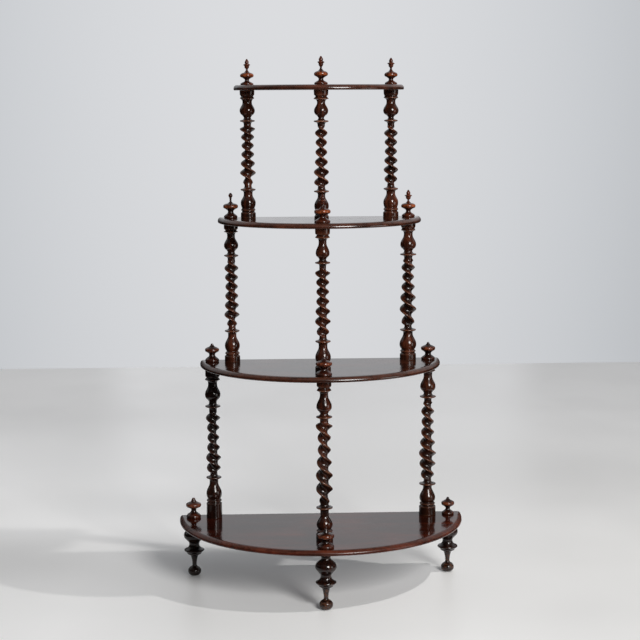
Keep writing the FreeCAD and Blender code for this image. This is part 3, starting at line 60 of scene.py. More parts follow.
# columns: heights (_z) up from the shelf they stand on, radii (_r); the twist turns by
# turn0 + turn1 (z - mid) + turn2 (z - mid)^2 degrees; lobes and waists are (z, r) pairs
COLUMNS = {
    ("a", "front"): {
        "len": 378.0, "grv_z": 361.0, "grv_r": 13.2, "ring_z": 355.8, "ring_r": 16.8, "neck1_z": 343.4,
        "neck1_r": 9.3, "bulb_z": 316.7, "bulb_r": 17.6, "neck2_z": 301.5, "neck2_r": 8.8, "disc1_z": 293.1,
        "disc1_r": 18.6, "neck3_z": 284.4, "neck3_r": 9.4, "disc2_z": 77.4, "disc2_r": 19.2, "neck4_z": 60.1,
        "neck4_r": 9.5, "vase_z": 36.5, "vase_r": 18.6, "neck5_z": 26.4, "neck5_r": 14.3, "ring2_z": 21.6,
        "ring2_r": 18.9, "base_r": 19.6, "blk_r": 16.9, "blk2_z": 365.6, "blk2_r": 16.7, "neck6_r": 9.4,
        "tw_top": 281.9, "tw_bot": 85.9, "tw_mid": 183.9, "turn0": 4.11, "turn1": -5.9204, "turn2": -0.003896,
        "lobes": [(272.5, 19.3), (243.6, 15.2), (214.4, 15.0), (183.9, 17.3), (152.4, 19.5), (120.1, 19.2),
        (95.0, 13.1)], "waists": [(255.9, 7.4), (229.8, 6.7), (200.6, 6.7), (169.6, 9.0), (137.6, 9.4), (105.8,
        7.6), (86.6, 8.8)],
    },
    ("a", "left"): {
        "len": 378.0, "ring_z": 346.2, "ring_r": 18.2, "neck1_z": 333.3, "neck1_r": 10.7, "bulb_z": 307.9,
        "bulb_r": 18.6, "neck2_z": 291.0, "neck2_r": 8.9, "disc1_z": 279.5, "disc1_r": 18.3, "neck3_z": 268.5,
        "neck3_r": 9.0, "disc2_z": 101.4, "disc2_r": 18.4, "neck4_z": 87.7, "neck4_r": 10.3, "vase_z": 60.7,
        "vase_r": 18.7, "neck5_z": 48.0, "neck5_r": 15.0, "ring2_z": 43.3, "ring2_r": 18.4, "base_r": 18.9,
        "blk_r": 17.2, "blk2_z": 354.1, "blk2_r": 17.2, "grv_z": 350.7, "grv_r": 14.6, "neck6_r": 8.4,
        "tw_top": 266.0, "tw_bot": 109.9, "tw_mid": 187.9, "turn0": 99.70, "turn1": -7.2110, "turn2":
        -0.002240, "lobes": [(251.8, 17.2), (226.1, 14.8), (202.3, 14.2), (176.4, 15.3), (151.5, 18.0), (128.1,
        16.8)], "waists": [(238.6, 7.1), (213.6, 6.8), (188.5, 7.3), (165.1, 8.8), (138.2, 9.8), (114.8, 7.8)],
    },
    ("a", "right"): {
        "len": 378.0, "ring_z": 362.5, "ring_r": 17.7, "neck1_z": 348.3, "neck1_r": 10.0, "bulb_z": 322.1,
        "bulb_r": 18.5, "neck2_z": 307.1, "neck2_r": 9.8, "disc1_z": 297.6, "disc1_r": 19.5, "neck3_z": 289.6,
        "neck3_r": 8.5, "disc2_z": 78.2, "disc2_r": 20.2, "neck4_z": 69.6, "neck4_r": 10.3, "vase_z": 42.1,
        "vase_r": 19.2, "neck5_z": 33.1, "neck5_r": 15.4, "ring2_z": 28.1, "ring2_r": 19.0, "base_r": 20.4,
        "blk_r": 17.5, "blk2_z": 370.8, "blk2_r": 17.3, "grv_z": 367.0, "grv_r": 14.6, "neck6_r": 8.9,
        "tw_top": 287.1, "tw_bot": 86.7, "tw_mid": 186.9, "turn0": 139.30, "turn1": -6.8107, "turn2":
        -0.000716, "lobes": [(280.3, 13.7), (259.5, 15.6), (233.4, 14.8), (207.2, 15.8), (181.5, 18.1), (152.2,
        20.8), (127.9, 19.5), (102.3, 15.9)], "waists": [(272.0, 7.5), (247.0, 6.5), (221.8, 6.8), (194.6,
        8.4), (166.9, 10.0), (141.1, 10.3), (115.3, 8.8), (90.4, 8.3)],
    },
    ("b", "front"): {
        "len": 337.5, "grv_z": 320.3, "grv_r": 13.5, "ring_z": 316.1, "ring_r": 17.0, "neck1_z": 302.9,
        "neck1_r": 8.8, "bulb_z": 279.0, "bulb_r": 15.8, "neck2_z": 265.5, "neck2_r": 7.7, "disc1_z": 257.1,
        "disc1_r": 17.5, "neck3_z": 245.9, "neck3_r": 7.5, "disc2_z": 72.9, "disc2_r": 17.7, "neck4_z": 60.4,
        "neck4_r": 9.8, "vase_z": 34.9, "vase_r": 17.9, "base_r": 18.2, "blk_r": 17.2, "blk2_z": 324.6,
        "blk2_r": 16.8, "neck5_z": 23.6, "neck5_r": 14.6, "ring2_z": 19.1, "ring2_r": 17.9, "neck6_r": 8.2,
        "tw_top": 243.4, "tw_bot": 81.4, "tw_mid": 162.4, "turn0": 29.65, "turn1": -7.8233, "turn2": -0.004228,
        "lobes": [(234.2, 17.3), (211.6, 15.0), (189.8, 14.6), (165.7, 14.9), (142.9, 16.9), (119.4, 17.9),
        (97.7, 14.3)], "waists": [(221.4, 6.9), (199.2, 6.5), (177.4, 6.4), (154.7, 7.3), (131.2, 8.6), (106.9,
        7.3), (84.0, 6.8)],
    },
    ("b", "left"): {
        "len": 337.5, "grv_z": 319.6, "grv_r": 13.1, "ring_z": 317.2, "ring_r": 16.9, "neck1_z": 305.1,
        "neck1_r": 9.0, "bulb_z": 283.3, "bulb_r": 16.9, "neck2_z": 268.7, "neck2_r": 8.3, "disc1_z": 259.0,
        "disc1_r": 17.0, "neck3_z": 250.5, "neck3_r": 8.5, "disc2_z": 75.2, "disc2_r": 17.8, "neck4_z": 63.4,
        "neck4_r": 9.7, "vase_z": 38.7, "vase_r": 17.9, "neck5_z": 25.3, "neck5_r": 13.5, "ring2_z": 20.0,
        "ring2_r": 17.8, "base_r": 18.6, "blk_r": 16.7, "blk2_z": 324.1, "blk2_r": 16.6, "neck6_r": 8.2,
        "tw_top": 248.0, "tw_bot": 83.7, "tw_mid": 165.8, "turn0": 140.46, "turn1": -7.9054, "turn2":
        -0.001446, "lobes": [(228.6, 16.5), (205.5, 15.4), (182.8, 14.8), (161.1, 15.5), (139.0, 16.5), (114.8,
        18.0), (94.6, 12.1)], "waists": [(239.6, 7.9), (217.7, 7.0), (194.8, 6.9), (171.3, 7.4), (149.3, 7.5),
        (127.3, 8.6), (102.2, 6.9), (85.5, 7.1)],
    },
    ("b", "right"): {
        "len": 337.5, "grv_z": 321.0, "grv_r": 15.2, "ring_z": 317.9, "ring_r": 17.2, "neck1_z": 306.5,
        "neck1_r": 10.3, "bulb_z": 282.1, "bulb_r": 18.8, "neck2_z": 267.5, "neck2_r": 9.6, "disc1_z": 258.5,
        "disc1_r": 19.4, "neck3_z": 251.2, "neck3_r": 9.4, "disc2_z": 73.7, "disc2_r": 19.1, "neck4_z": 65.1,
        "neck4_r": 11.1, "vase_z": 37.3, "vase_r": 20.2, "base_r": 19.6, "blk_r": 17.4, "blk2_z": 325.4,
        "blk2_r": 17.2, "neck5_z": 25.4, "neck5_r": 15.3, "ring2_z": 21.0, "ring2_r": 19.0, "neck6_r": 8.4,
        "tw_top": 248.7, "tw_bot": 82.2, "tw_mid": 165.4, "turn0": 90.91, "turn1": -6.8642, "turn2": -0.009927,
        "lobes": [(242.7, 17.2), (227.3, 16.0), (202.6, 14.0), (177.8, 15.9), (151.6, 18.4), (124.0, 19.9),
        (98.2, 15.5)], "waists": [(235.8, 9.2), (214.3, 6.7), (191.1, 6.0), (166.1, 8.3), (138.3, 8.7), (108.3,
        8.0), (85.6, 7.8)],
    },
    ("c", "front"): {
        "len": 304.0, "grv_z": 288.6, "grv_r": 12.6, "ring_z": 284.0, "ring_r": 17.3, "neck1_z": 274.9,
        "neck1_r": 9.1, "bulb_z": 255.8, "bulb_r": 16.2, "neck2_z": 240.4, "neck2_r": 6.1, "disc1_z": 231.9,
        "disc1_r": 17.1, "neck3_z": 224.3, "neck3_r": 8.2, "disc2_z": 69.5, "disc2_r": 17.4, "neck4_z": 59.0,
        "neck4_r": 8.3, "vase_z": 35.9, "vase_r": 16.6, "base_r": 16.8, "blk_r": 16.8, "blk2_z": 292.7,
        "blk2_r": 16.2, "neck5_z": 23.7, "neck5_r": 14.1, "ring2_z": 19.0, "ring2_r": 16.9, "neck6_r": 8.2,
        "tw_top": 221.8, "tw_bot": 78.0, "tw_mid": 149.9, "turn0": 81.89, "turn1": -7.8959, "turn2": -0.003924,
        "lobes": [(204.9, 14.3), (182.7, 13.0), (160.8, 13.5), (138.1, 14.8), (114.2, 17.4), (92.3, 16.7)],
        "waists": [(215.1, 4.7), (192.7, 4.6), (171.2, 3.5), (148.7, 4.1), (124.8, 4.9), (102.3, 8.0), (79.5,
        6.5)],
    },
    ("c", "left"): {
        "len": 304.0, "grv_z": 289.5, "grv_r": 14.3, "ring_z": 285.5, "ring_r": 16.9, "neck1_z": 275.3,
        "neck1_r": 10.9, "bulb_z": 255.9, "bulb_r": 17.8, "neck2_z": 240.2, "neck2_r": 8.0, "disc1_z": 231.8,
        "disc1_r": 17.6, "neck3_z": 224.4, "neck3_r": 8.4, "disc2_z": 68.0, "disc2_r": 17.8, "neck4_z": 56.0,
        "neck4_r": 10.3, "vase_z": 36.1, "vase_r": 17.7, "neck5_z": 23.6, "neck5_r": 14.5, "ring2_z": 18.9,
        "ring2_r": 17.3, "base_r": 17.8, "blk_r": 17.4, "blk2_z": 293.5, "blk2_r": 17.0, "neck6_r": 8.2,
        "tw_top": 221.9, "tw_bot": 76.5, "tw_mid": 149.2, "turn0": 25.26, "turn1": -8.4173, "turn2": -0.007238,
        "lobes": [(214.2, 18.1), (194.0, 15.4), (173.3, 14.3), (152.1, 15.0), (129.9, 16.6), (108.1, 18.4),
        (87.2, 11.5)], "waists": [(202.6, 8.0), (183.3, 6.5), (162.6, 6.4), (141.1, 6.1), (120.3, 7.9), (96.1,
        6.6), (77.6, 7.2)],
    },
    ("c", "right"): {
        "len": 304.0, "grv_z": 288.6, "grv_r": 15.1, "ring_z": 285.5, "ring_r": 17.1, "neck1_z": 274.8,
        "neck1_r": 10.3, "bulb_z": 254.4, "bulb_r": 18.1, "neck2_z": 239.3, "neck2_r": 6.2, "disc1_z": 230.9,
        "disc1_r": 16.0, "neck3_z": 222.6, "neck3_r": 7.8, "disc2_z": 67.8, "disc2_r": 17.3, "neck4_z": 57.2,
        "neck4_r": 10.1, "vase_z": 34.5, "vase_r": 17.7, "neck5_z": 22.7, "neck5_r": 14.9, "ring2_z": 18.3,
        "ring2_r": 17.9, "base_r": 18.4, "blk_r": 17.6, "blk2_z": 293.1, "blk2_r": 17.0, "neck6_r": 8.2,
        "tw_top": 220.1, "tw_bot": 76.3, "tw_mid": 148.2, "turn0": 72.43, "turn1": -8.2039, "turn2": -0.001478,
        "lobes": [(199.9, 15.9), (178.4, 14.7), (157.9, 14.4), (135.3, 15.6), (112.8, 17.1), (90.2, 15.0)],
        "waists": [(211.8, 5.4), (189.2, 7.0), (168.1, 6.0), (145.6, 5.4), (124.1, 5.5), (101.7, 7.1), (78.9,
        7.0)],
    },
}

# finials: heights up from the shelf top
FINIALS = {
    ("d", "left"): {"tip_z": 62.0, "knob_r": 4.5, "collar_z": 47.6, "collar_r": 8.2, "spire_z": 36.0, "spire_r": 2.1, "ball_z": 22.3, "ball_r": 15.9, "waist_z": 11.6, "waist_r": 4.6, "base_r": 15.3},
    ("d", "front"): {"tip_z": 65.4, "knob_r": 4.8, "collar_z": 50.9, "collar_r": 8.2, "spire_z": 38.6, "spire_r": 2.1, "ball_z": 23.8, "ball_r": 15.9, "waist_z": 12.3, "waist_r": 5.2, "base_r": 15.4},
    ("d", "right"): {"tip_z": 63.8, "knob_r": 4.4, "collar_z": 49.6, "collar_r": 8.7, "spire_z": 37.6, "spire_r": 2.2, "ball_z": 22.9, "ball_r": 15.5, "waist_z": 11.9, "waist_r": 4.9, "base_r": 14.6},
    ("c", "left"): {"tip_z": 61.0, "knob_r": 4.7, "collar_z": 47.7, "collar_r": 3.2, "spire_z": 39.5, "spire_r": 2.0, "ball_z": 27.9, "ball_r": 17.6, "waist_z": 15.2, "waist_r": 6.2, "base_r": 16.0},
    ("c", "front"): {"tip_z": 66.1, "knob_r": 5.0, "collar_z": 50.9, "collar_r": 8.6, "spire_z": 40.0, "spire_r": 2.4, "ball_z": 25.7, "ball_r": 18.7, "waist_z": 14.2, "waist_r": 6.8, "base_r": 18.1},
    ("c", "right"): {"tip_z": 65.3, "knob_r": 4.7, "collar_z": 50.8, "collar_r": 8.9, "spire_z": 39.0, "spire_r": 2.0, "ball_z": 25.8, "ball_r": 17.1, "waist_z": 13.9, "waist_r": 5.2, "base_r": 15.4},
    ("b", "left"): {"tip_z": 44.6, "knob_r": 2.9, "ball_z": 28.8, "ball_r": 16.9, "waist_z": 16.8, "waist_r": 6.8, "base_r": 16.7},
    ("b", "front"): {"tip_z": 44.5, "knob_r": 3.0, "ball_z": 27.6, "ball_r": 18.7, "waist_z": 15.5, "waist_r": 7.8, "base_r": 18.6},
    ("b", "right"): {"tip_z": 43.0, "knob_r": 2.7, "ball_z": 27.4, "ball_r": 17.2, "waist_z": 14.2, "waist_r": 6.9, "base_r": 16.5},
    ("a", "left"): {"tip_z": 50.5, "knob_r": 3.6, "ball_z": 32.2, "ball_r": 18.5, "waist_z": 19.2, "waist_r": 5.8, "base_r": 17.6},
    ("a", "front"): {"tip_z": 46.0, "knob_r": 3.2, "ball_z": 28.0, "ball_r": 19.2, "waist_z": 15.6, "waist_r": 8.2, "base_r": 18.8},
    ("a", "right"): {"tip_z": 43.5, "knob_r": 2.9, "ball_z": 27.8, "ball_r": 15.8, "waist_z": 14.6, "waist_r": 5.0, "base_r": 14.8},
}

# feet: heights up from the floor
FEET = {
    "left": {"pad_r": 7.6, "ball_z": 11.2, "ball_r": 16.0, "stem_z": 27.5, "stem_r": 5.0, "disc_z": 64.7, "disc_r": 24.8, "waist_z": 79.7, "waist_r": 12.0, "bulb_z": 101.9, "bulb_r": 25.1, "neck_z": 123.1, "neck_r": 10.4, "flange_r": 15.7},
    "right": {"pad_r": 7.6, "ball_z": 11.2, "ball_r": 15.9, "stem_z": 27.5, "stem_r": 5.0, "disc_z": 64.7, "disc_r": 24.9, "waist_z": 79.7, "waist_r": 12.0, "bulb_z": 101.9, "bulb_r": 25.1, "neck_z": 123.1, "neck_r": 10.4, "flange_r": 15.6},
    "front": {"pad_r": 8.0, "ball_z": 11.2, "ball_r": 15.9, "stem_z": 27.5, "stem_r": 5.0, "disc_z": 64.7, "disc_r": 24.1, "waist_z": 79.5, "waist_r": 12.0, "bulb_z": 101.9, "bulb_r": 24.7, "neck_z": 123.1, "neck_r": 10.4, "flange_r": 15.6},
}


def post_spot(level, side):
    if side == "front":
        return 0.0, BACK - SHELF_DEPTH[level] + POST_FRONT
    return (-POST_X[level] if side == "left" else POST_X[level]), BACK - POST_BACK


# ---------------------------------------------------------------- profiles
def bent(p, q, bend, step=0.2):
    """Points from p to q (q left out) along a line or a round; see the bends below.
    "line"; "from": an arc that starts upright at p; "to": an arc that ends upright at q;
    ("radius", R): a convex arc of that radius."""
    p, q = np.array(p, float), np.array(q, float)
    gap = np.linalg.norm(q - p)
    n = max(2, int(math.ceil(gap * 1.15 / step)))
    if gap < 1e-6:
        return np.array([p])
    t = np.arange(n) / n
    if bend == "line":
        return p + (q - p) * t[:, None]
    if bend in ("from", "to"):
        base, far = (p, q) if bend == "from" else (q, p)
        ex, ey = far - base
        if abs(ex) < 1e-6:
            return p + (q - p) * t[:, None]
        radius = (ex * ex + ey * ey) / (2 * abs(ex))
        c = np.array([base[0] + math.copysign(radius, ex), base[1]])
    else:
        radius = max(bend[1], gap / 2 + 1e-6)
        rise = math.sqrt(max(radius ** 2 - gap * gap / 4, 0.0))
        d = (q - p) / gap
        c = (p + q) / 2 + rise * np.array([-d[1], d[0]])
    a = math.atan2(p[1] - c[1], p[0] - c[0])
    b = math.atan2(q[1] - c[1], q[0] - c[0])
    sweep = (b - a + math.pi) % (2 * math.pi) - math.pi
    r = np.linalg.norm(p - c)
    ang = a + sweep * t
    return c + r * np.stack([np.cos(ang), np.sin(ang)], 1)


def even(line, step):
    """The same line with evenly spaced points."""
    run = np.concatenate([[0], np.cumsum(np.linalg.norm(np.diff(line, axis=0), axis=1))])
    n = max(4, int(round(run[-1] / step)))
    s = np.linspace(0, run[-1], n + 1)
    return np.stack([np.interp(s, run, line[:, 0]), np.interp(s, run, line[:, 1])], 1)


def soften(line, step, sigma):
    """Rounds off corners a little, as sanding and polishing do, and keeps both ends."""
    n = int(math.ceil(3 * sigma / step))
    k = np.exp(-0.5 * (np.arange(-n, n + 1) * step / sigma) ** 2)
    k /= k.sum()
    out = line.copy()
    for c in range(2):
        v = line[:, c]
        head = 2 * v[0] - v[n:0:-1]
        tail = 2 * v[-1] - v[-2:-n - 2:-1]
        out[:, c] = np.convolve(np.concatenate([head, v, tail]), k, mode="valid")
    out[0], out[-1] = line[0], line[-1]
    return out


def blurred(v, width):
    n = max(1, int(width))
    k = np.hanning(2 * n + 3)[1:-1]
    k /= k.sum()
    pad = np.pad(v, n, mode="edge")
    return np.convolve(pad, k, mode="valid")


def wear(line, step):
    """For each point of a profile that goes up: how recessed it is and how proud."""
    d = np.gradient(line, axis=0)
    turn = np.unwrap(np.arctan2(d[:, 1], d[:, 0]))
    curve = blurred(np.gradient(turn) / step, 0.9 / step)
    proud = np.clip((curve - 0.10) / 0.55, 0, 1)
    z, r = line[:, 1], line[:, 0]
    # the recessed value later darkens the colour: painted shade in hollows and creases
    deep = np.zeros(len(line))
    for k in range(len(line)):
        near = np.abs(z - z[k]) < 8.5
        deep[k] = (r[near].max() - r[k]) / 9.0
    pit = np.clip(-curve * 1.1 - 0.05, 0, 1)
    deep = np.clip(deep, 0, 1) ** 1.3 * 0.8 + pit * 0.55
    deep = np.clip(blurred(deep, 1.0 / step), 0, 1)
    return deep, blurred(proud, 0.5 / step)


def thinned(line, tol=0.018, longest=2.6):
    """Indices of enough points to draw the line within tol."""
    keep, k, n = [0], 0, len(line)
    while k < n - 1:
        j = k + 1
        while j + 1 < n:
            a, b = line[k], line[j + 1]
            ab = b - a
            length = np.linalg.norm(ab)
            if length > longest:
                break
            mid = line[k + 1:j + 1] - a
            off = np.abs(mid[:, 0] * ab[1] - mid[:, 1] * ab[0]) / max(length, 1e-9)
            if off.max() > tol:
                break
            j += 1
        keep.append(j)
        k = j
    return keep


def drawn(points, bends, sigma=0.42):
    """Profile through the points: (z, r, recessed, proud) rows, thinned."""
    step = 0.2
    line = [bent(points[k], points[k + 1], bends[k]) for k in range(len(points) - 1)]
    line = np.concatenate(line + [np.array([points[-1]], float)])
    line = even(line, step)
    line = soften(line, step, sigma)
    line[:, 0] = np.maximum(line[:, 0], 0.0)
    deep, proud = wear(line, step)
    keep = thinned(line)
    return [(line[k, 1], line[k, 0], deep[k], proud[k]) for k in keep]


# ---------------------------------------------------------------- meshes
def as_object(name, verts, faces, deep, proud):
    mesh = bpy.data.meshes.new(name)
    mesh.from_pydata([tuple(v) for v in verts], [], faces)
    mesh.polygons.foreach_set("use_smooth", [True] * len(mesh.polygons))
    for label, values in (("recess", deep), ("proud", proud)):
        att = mesh.attributes.new(label, "FLOAT", "POINT")
        att.data.foreach_set("value", np.asarray(values, np.float32))
    mesh.validate()
    mesh.update()
    obj = bpy.data.objects.new(name, mesh)
    bpy.context.scene.collection.objects.link(obj)
    return obj


def stacked(name, rings, deep, proud, centre):
    """A closed skin through rings of equal length, with a point in the middle of each end."""
    n = len(rings[0])
    rings = np.array(rings, float)
    low, high = rings[0].mean(0), rings[-1].mean(0)
    verts = np.concatenate([rings.reshape(-1, 3), [low, high]])
    verts = (verts + np.array([centre[0], centre[1], centre[2]])) * MM
    faces = []
    for k in range(len(rings) - 1):
        a, b = k * n, (k + 1) * n
        for j in range(n):
            i = (j + 1) % n
            faces.append((a + j, a + i, b + i, b + j))
    top = (len(rings) - 1) * n
    for j in range(n):
        i = (j + 1) % n
        faces.append((i, j, len(rings) * n))
        faces.append((top + j, top + i, len(rings) * n + 1))
    d = np.concatenate([np.concatenate(deep), [deep[0][0], deep[-1][0]]])
    p = np.concatenate([np.concatenate(proud), [0.0, 0.0]])
    return as_object(name, verts, faces, d, p)


AROUND = 64
RIDGE = math.radians(11)      # half the flat of a ridge, seen from the middle of the post
HOLLOW = 2.8                  # how suddenly the hollow falls away beside it
FULLER = 0.35                 # the finish on top of the bare wood, with rounding of the count of sides


def hoop(z, r, phase=0.0, wobble=0.0):
    a = phase + np.arange(AROUND) * 2 * math.pi / AROUND
    rr = r + wobble + FULLER * min(1.0, r / 3.0)
    return np.stack([rr * np.cos(a), rr * np.sin(a), np.full(AROUND, z)], 1)


def lathe(name, profile, centre):
    rings, deep, proud = [], [], []
    for z, r, d, p in profile:
        if r < 0.35:
            continue
        rings.append(hoop(z, r))
        deep.append(np.full(AROUND, d))
        proud.append(np.full(AROUND, p))
    return stacked(name, rings, deep, proud, centre)


def disc_part(radius, height, below, above, points, bends):
    tip = (1.5 * 1.5 + 0.8 * 0.8) / 1.6
    points += [(below, height - 8.0), (below + 5.2, height - 2.6), (radius - 0.8, height - 1.5),
               (radius - 0.8, height + 1.5), (above + 5.2, height + 2.6), (above, height + 8.0)]
    bends += ["from", "line", ("radius", tip), "line", "to"]


def swell_part(low_r, low_z, high_r, high_z, points, bends):
    run, drop = high_z - low_z, low_r - high_r
    points += [(high_r + drop * 0.76, low_z + run * 0.36), (high_r + drop * 0.22, low_z + run * 0.70), (high_r, high_z)]
    bends += ["from", "line", "to"]


def column_profiles(c):
    """Lower and upper turning of a column, both going up."""
    top = c["ring2_z"] - 6.0
    groove = c["ring2_r"] - 2.6
    low = [(0.0, 0.0), (c["base_r"] - 0.7, 0.0), (c["base_r"], 0.8), (c["base_r"] - 0.3, top - 1.2),
           (c["base_r"] - 1.5, top), (groove, c["ring2_z"] - 3.6), (groove, c["ring2_z"] - 2.8),
           (c["ring2_r"], c["ring2_z"]), (c["ring2_r"] - 0.5, c["ring2_z"] + 0.9),
           (c["neck5_r"], c["neck5_z"]), (c["vase_r"], c["vase_z"])]
    bends = ["line", "line", "line", "from", "line", "line", "line", "line", "line", "to"]
    swell_part(c["vase_r"], c["vase_z"], c["neck4_r"], c["neck4_z"], low, bends)
    bends.append("line")
    disc_part(c["disc2_r"], c["disc2_z"], c["neck4_r"], c["neck6_r"], low, bends)
    bends.append("line")
    low.append((c["neck6_r"], c["tw_bot"]))

    up = [(c["neck3_r"], c["tw_top"])]
    ubends = ["line"]
    disc_part(c["disc1_r"], c["disc1_z"], c["neck3_r"], c["neck2_r"], up, ubends)
    ubends.append("line")
    rise, gain = c["bulb_z"] - c["neck2_z"], c["bulb_r"] - c["neck2_r"]
    up += [(c["neck2_r"], c["neck2_z"]), (c["neck2_r"] + gain * 0.35, c["neck2_z"] + rise * 0.30), (c["bulb_r"], c["bulb_z"])]
    ubends += ["line", "to"]
    swell_part(c["bulb_r"], c["bulb_z"], c["neck1_r"], c["neck1_z"], up, ubends)
    ubends.append("line")
    up += [(c["neck1_r"], c["ring_z"] - 8.6), (c["neck1_r"] + 3.0, c["ring_z"] - 2.4), (c["ring_r"] - 0.4, c["ring_z"] - 0.9),
           (c["ring_r"], c["ring_z"]), (c["grv_r"], c["grv_z"]), (c["grv_r"], c["grv_z"] + 0.8),
           (c["blk2_r"] - 1.2, c["blk2_z"] - 1.2), (c["blk2_r"], c["blk2_z"] + 0.84), (c["blk_r"], c["len"] - 0.8),
           (c["blk_r"] - 0.7, c["len"]), (0.0, c["len"])]
    ubends += ["from", "line", "line", "line", "line", "line", "to", "line", "line", "line"]
    return drawn(low, bends), drawn(up, ubends)


def ease(x):
    x = max(0.0, min(1.0, x))
    return x * x * (3 - 2 * x)


def between(stations, z):
    if z >= stations[0][0]:
        return stations[0][1]
    for (z1, r1), (z2, r2) in zip(stations, stations[1:]):
        if z >= z2:
            return r2 + (r1 - r2) * ease((z - z2) / (z1 - z2))
    return stations[-1][1]


def section(reach, core):
    """Cross-section of the twist: two ridges, rounded over on top as the turner left them,
    with a wide gouged hollow either side.  Evenly spaced points, the first on a crest."""
    a = np.arange(180) * math.pi / 90
    off = np.abs((a + math.pi / 2) % math.pi - math.pi / 2)
    t = np.clip((math.pi / 2 - off) / (math.pi / 2 - RIDGE), 0, 1)
    r = core + (reach - core) * t ** HOLLOW
    k = np.hanning(19)[1:-1]
    k /= k.sum()
    r = np.convolve(np.concatenate([r[-8:], r, r[:8]]), k, mode="valid")
    r *= reach / r[0]
    full = np.stack([r * np.cos(a), r * np.sin(a)], 1)
    full = np.concatenate([full, full[:1]])
    run = np.concatenate([[0], np.cumsum(np.linalg.norm(np.diff(full, axis=0), axis=1))])
    s = np.arange(AROUND) * run[-1] / AROUND
    return np.stack([np.interp(s, run, full[:, 0]), np.interp(s, run, full[:, 1])], 1)


def make_column(name, key, c, centre, seed):
    low, up = column_profiles(c)
    rng = np.random.default_rng(seed)
    lo, hi, mid = c["tw_bot"], c["tw_top"], c["tw_mid"]

    def turn(z):
        return math.radians(c["turn0"] + c["turn1"] * (z - mid) + c["turn2"] * (z - mid) ** 2)

    rings, deep, proud = [], [], []
    phase = turn(lo)
    for z, r, d, p in low:
        if r < 0.35:
            continue
        rings.append(hoop(z, r, phase))
        # painted shade: the block that stands on the shelf is darkened
        block_shade = 0.62 * min(1.0, max(0.0, (c["ring2_z"] - 2.0 - z) / 4.0))
        deep.append(np.full(AROUND, max(d, block_shade)))
        proud.append(np.full(AROUND, p))
    count = int(round((hi - lo) / 1.15))
    drift = np.convolve(rng.normal(0, 1, count + 40), np.hanning(21) / 10, mode="same")[20:20 + count + 1]
    for k in range(1, count):
        z = lo + (hi - lo) * k / count
        inside = min(z - lo, hi - z)
        neck = c["neck6_r"] if z < mid else c["neck3_r"]
        grow = ease(inside / 9.0)
        lobe, waist = between(c["lobes"], z), between(c["waists"], z)
        lobe += 0.12 * drift[k]
        reach = neck + (lobe - neck) * grow
        core = neck + (waist - neck) * grow
        pts = section(reach + FULLER, core + FULLER)
        t = turn(z)
        x = pts[:, 0] * math.cos(t) - pts[:, 1] * math.sin(t)
        y = pts[:, 0] * math.sin(t) + pts[:, 1] * math.cos(t)
        rings.append(np.stack([x, y, np.full(AROUND, z)], 1))
        rho = np.linalg.norm(pts, axis=1) - FULLER
        up_ridge = np.clip((rho - core) / max(reach - core, 0.5), 0, 1)
        # painted shade: the hollows between the ridges are darkened
        deep.append((1 - up_ridge) ** 1.1 * (0.30 + 0.70 * grow))
        proud.append(np.clip((up_ridge - 0.58) / 0.42, 0, 1) ** 1.6 * grow * 0.85)
    phase = turn(hi)
    for z, r, d, p in up:
        if r < 0.35:
            continue
        rings.append(hoop(z, r, phase))
        deep.append(np.full(AROUND, d))
        proud.append(np.full(AROUND, p))
    return stacked(name, rings, deep, proud, centre)


def make_finial(name, f, centre):
    wr, wz, br, bz = f["waist_r"], f["waist_z"], f["ball_r"], f["ball_z"]
    swell, flare, climb = f["base_r"] - wr, br - wr, bz - wz
    pts = [(0.0, 0.0), (f["base_r"] - 0.8, 0.0), (f["base_r"], wz * 0.2), (f["base_r"] - swell * 0.08, wz * 0.36),
           (wr + swell * 0.68, wz * 0.50), (wr + swell * 0.30, wz * 0.67), (wr, wz), (wr + flare * 0.16, wz + climb * 0.28),
           (wr + flare * 0.48, wz + climb * 0.48), (wr + flare * 0.88, wz + climb * 0.67), (br, bz)]
    bends = ["line", "to", "from", "line", "line", "to", "from", "line", "line", "to"]
    if "collar_z" in f:
        sr, sz, cr, cz, kr = f["spire_r"], f["spire_z"], f["collar_r"], f["collar_z"], f["knob_r"]
        pts += [(br - 0.7, bz + 2.8), (br - 2.2, bz + 4.5), (br - 5.0, bz + 5.9), (sr + 4.6, bz + 7.2), (sr + 2.2, bz + 9.2),
                (sr + 0.8, bz + 11.3),
                (sr, sz), (sr + 0.6, sz + 2.6), (cr * 0.62, cz - 5.0), (cr * 0.66, cz - 2.2), (cr - 1.1, cz - 1.2), (cr, cz),
                (cr - 1.1, cz + 1.2), (kr * 0.78, cz + 2.9), (kr, cz + 5.8), (kr * 0.9, cz + 8.2), (kr * 0.6, cz + 10.6),
                (kr * 0.3, f["tip_z"] - 1.0), (0.0, f["tip_z"])]
        bends += ["from", "line", "line", "line", "line", "line", "to", "from", "to", "from", "line", "line", "line",
                  "line", "to", "from", "line", "line"]
    else:
        kr, tz = f["knob_r"], f["tip_z"]
        pts += [(br - 1.1, bz + 3.3), (br * 0.68, bz + 5.8), (kr + 3.5, bz + 8.0), (kr + 0.8, tz - 4.8), (kr, tz - 2.8),
                (kr * 0.5, tz - 0.6), (0.0, tz)]
        bends += ["from", "line", "line", "line", "to", "from"]
    bends += ["line"]
    # the bases and spires are painted darker than the balls; a band round each ball's middle takes the rubbed colour as
    # a painted highlight
    rows = []
    for z, r, deep, proud in drawn(pts, bends, 0.45):
        low = 0.22 * min(1.0, max(0.0, (wz + 2.5 - z) / 3.0))
        top = 0.30 * min(1.0, max(0.0, (z - bz - 6.0) / 3.0))
        ball = min(1.0, max(0.0, 1.45 - abs(z - bz - 0.9) / 3.6))
        rows.append((z, r, max(deep, low, top), max(proud * 0.45, ball)))
    return lathe(name, rows, centre)


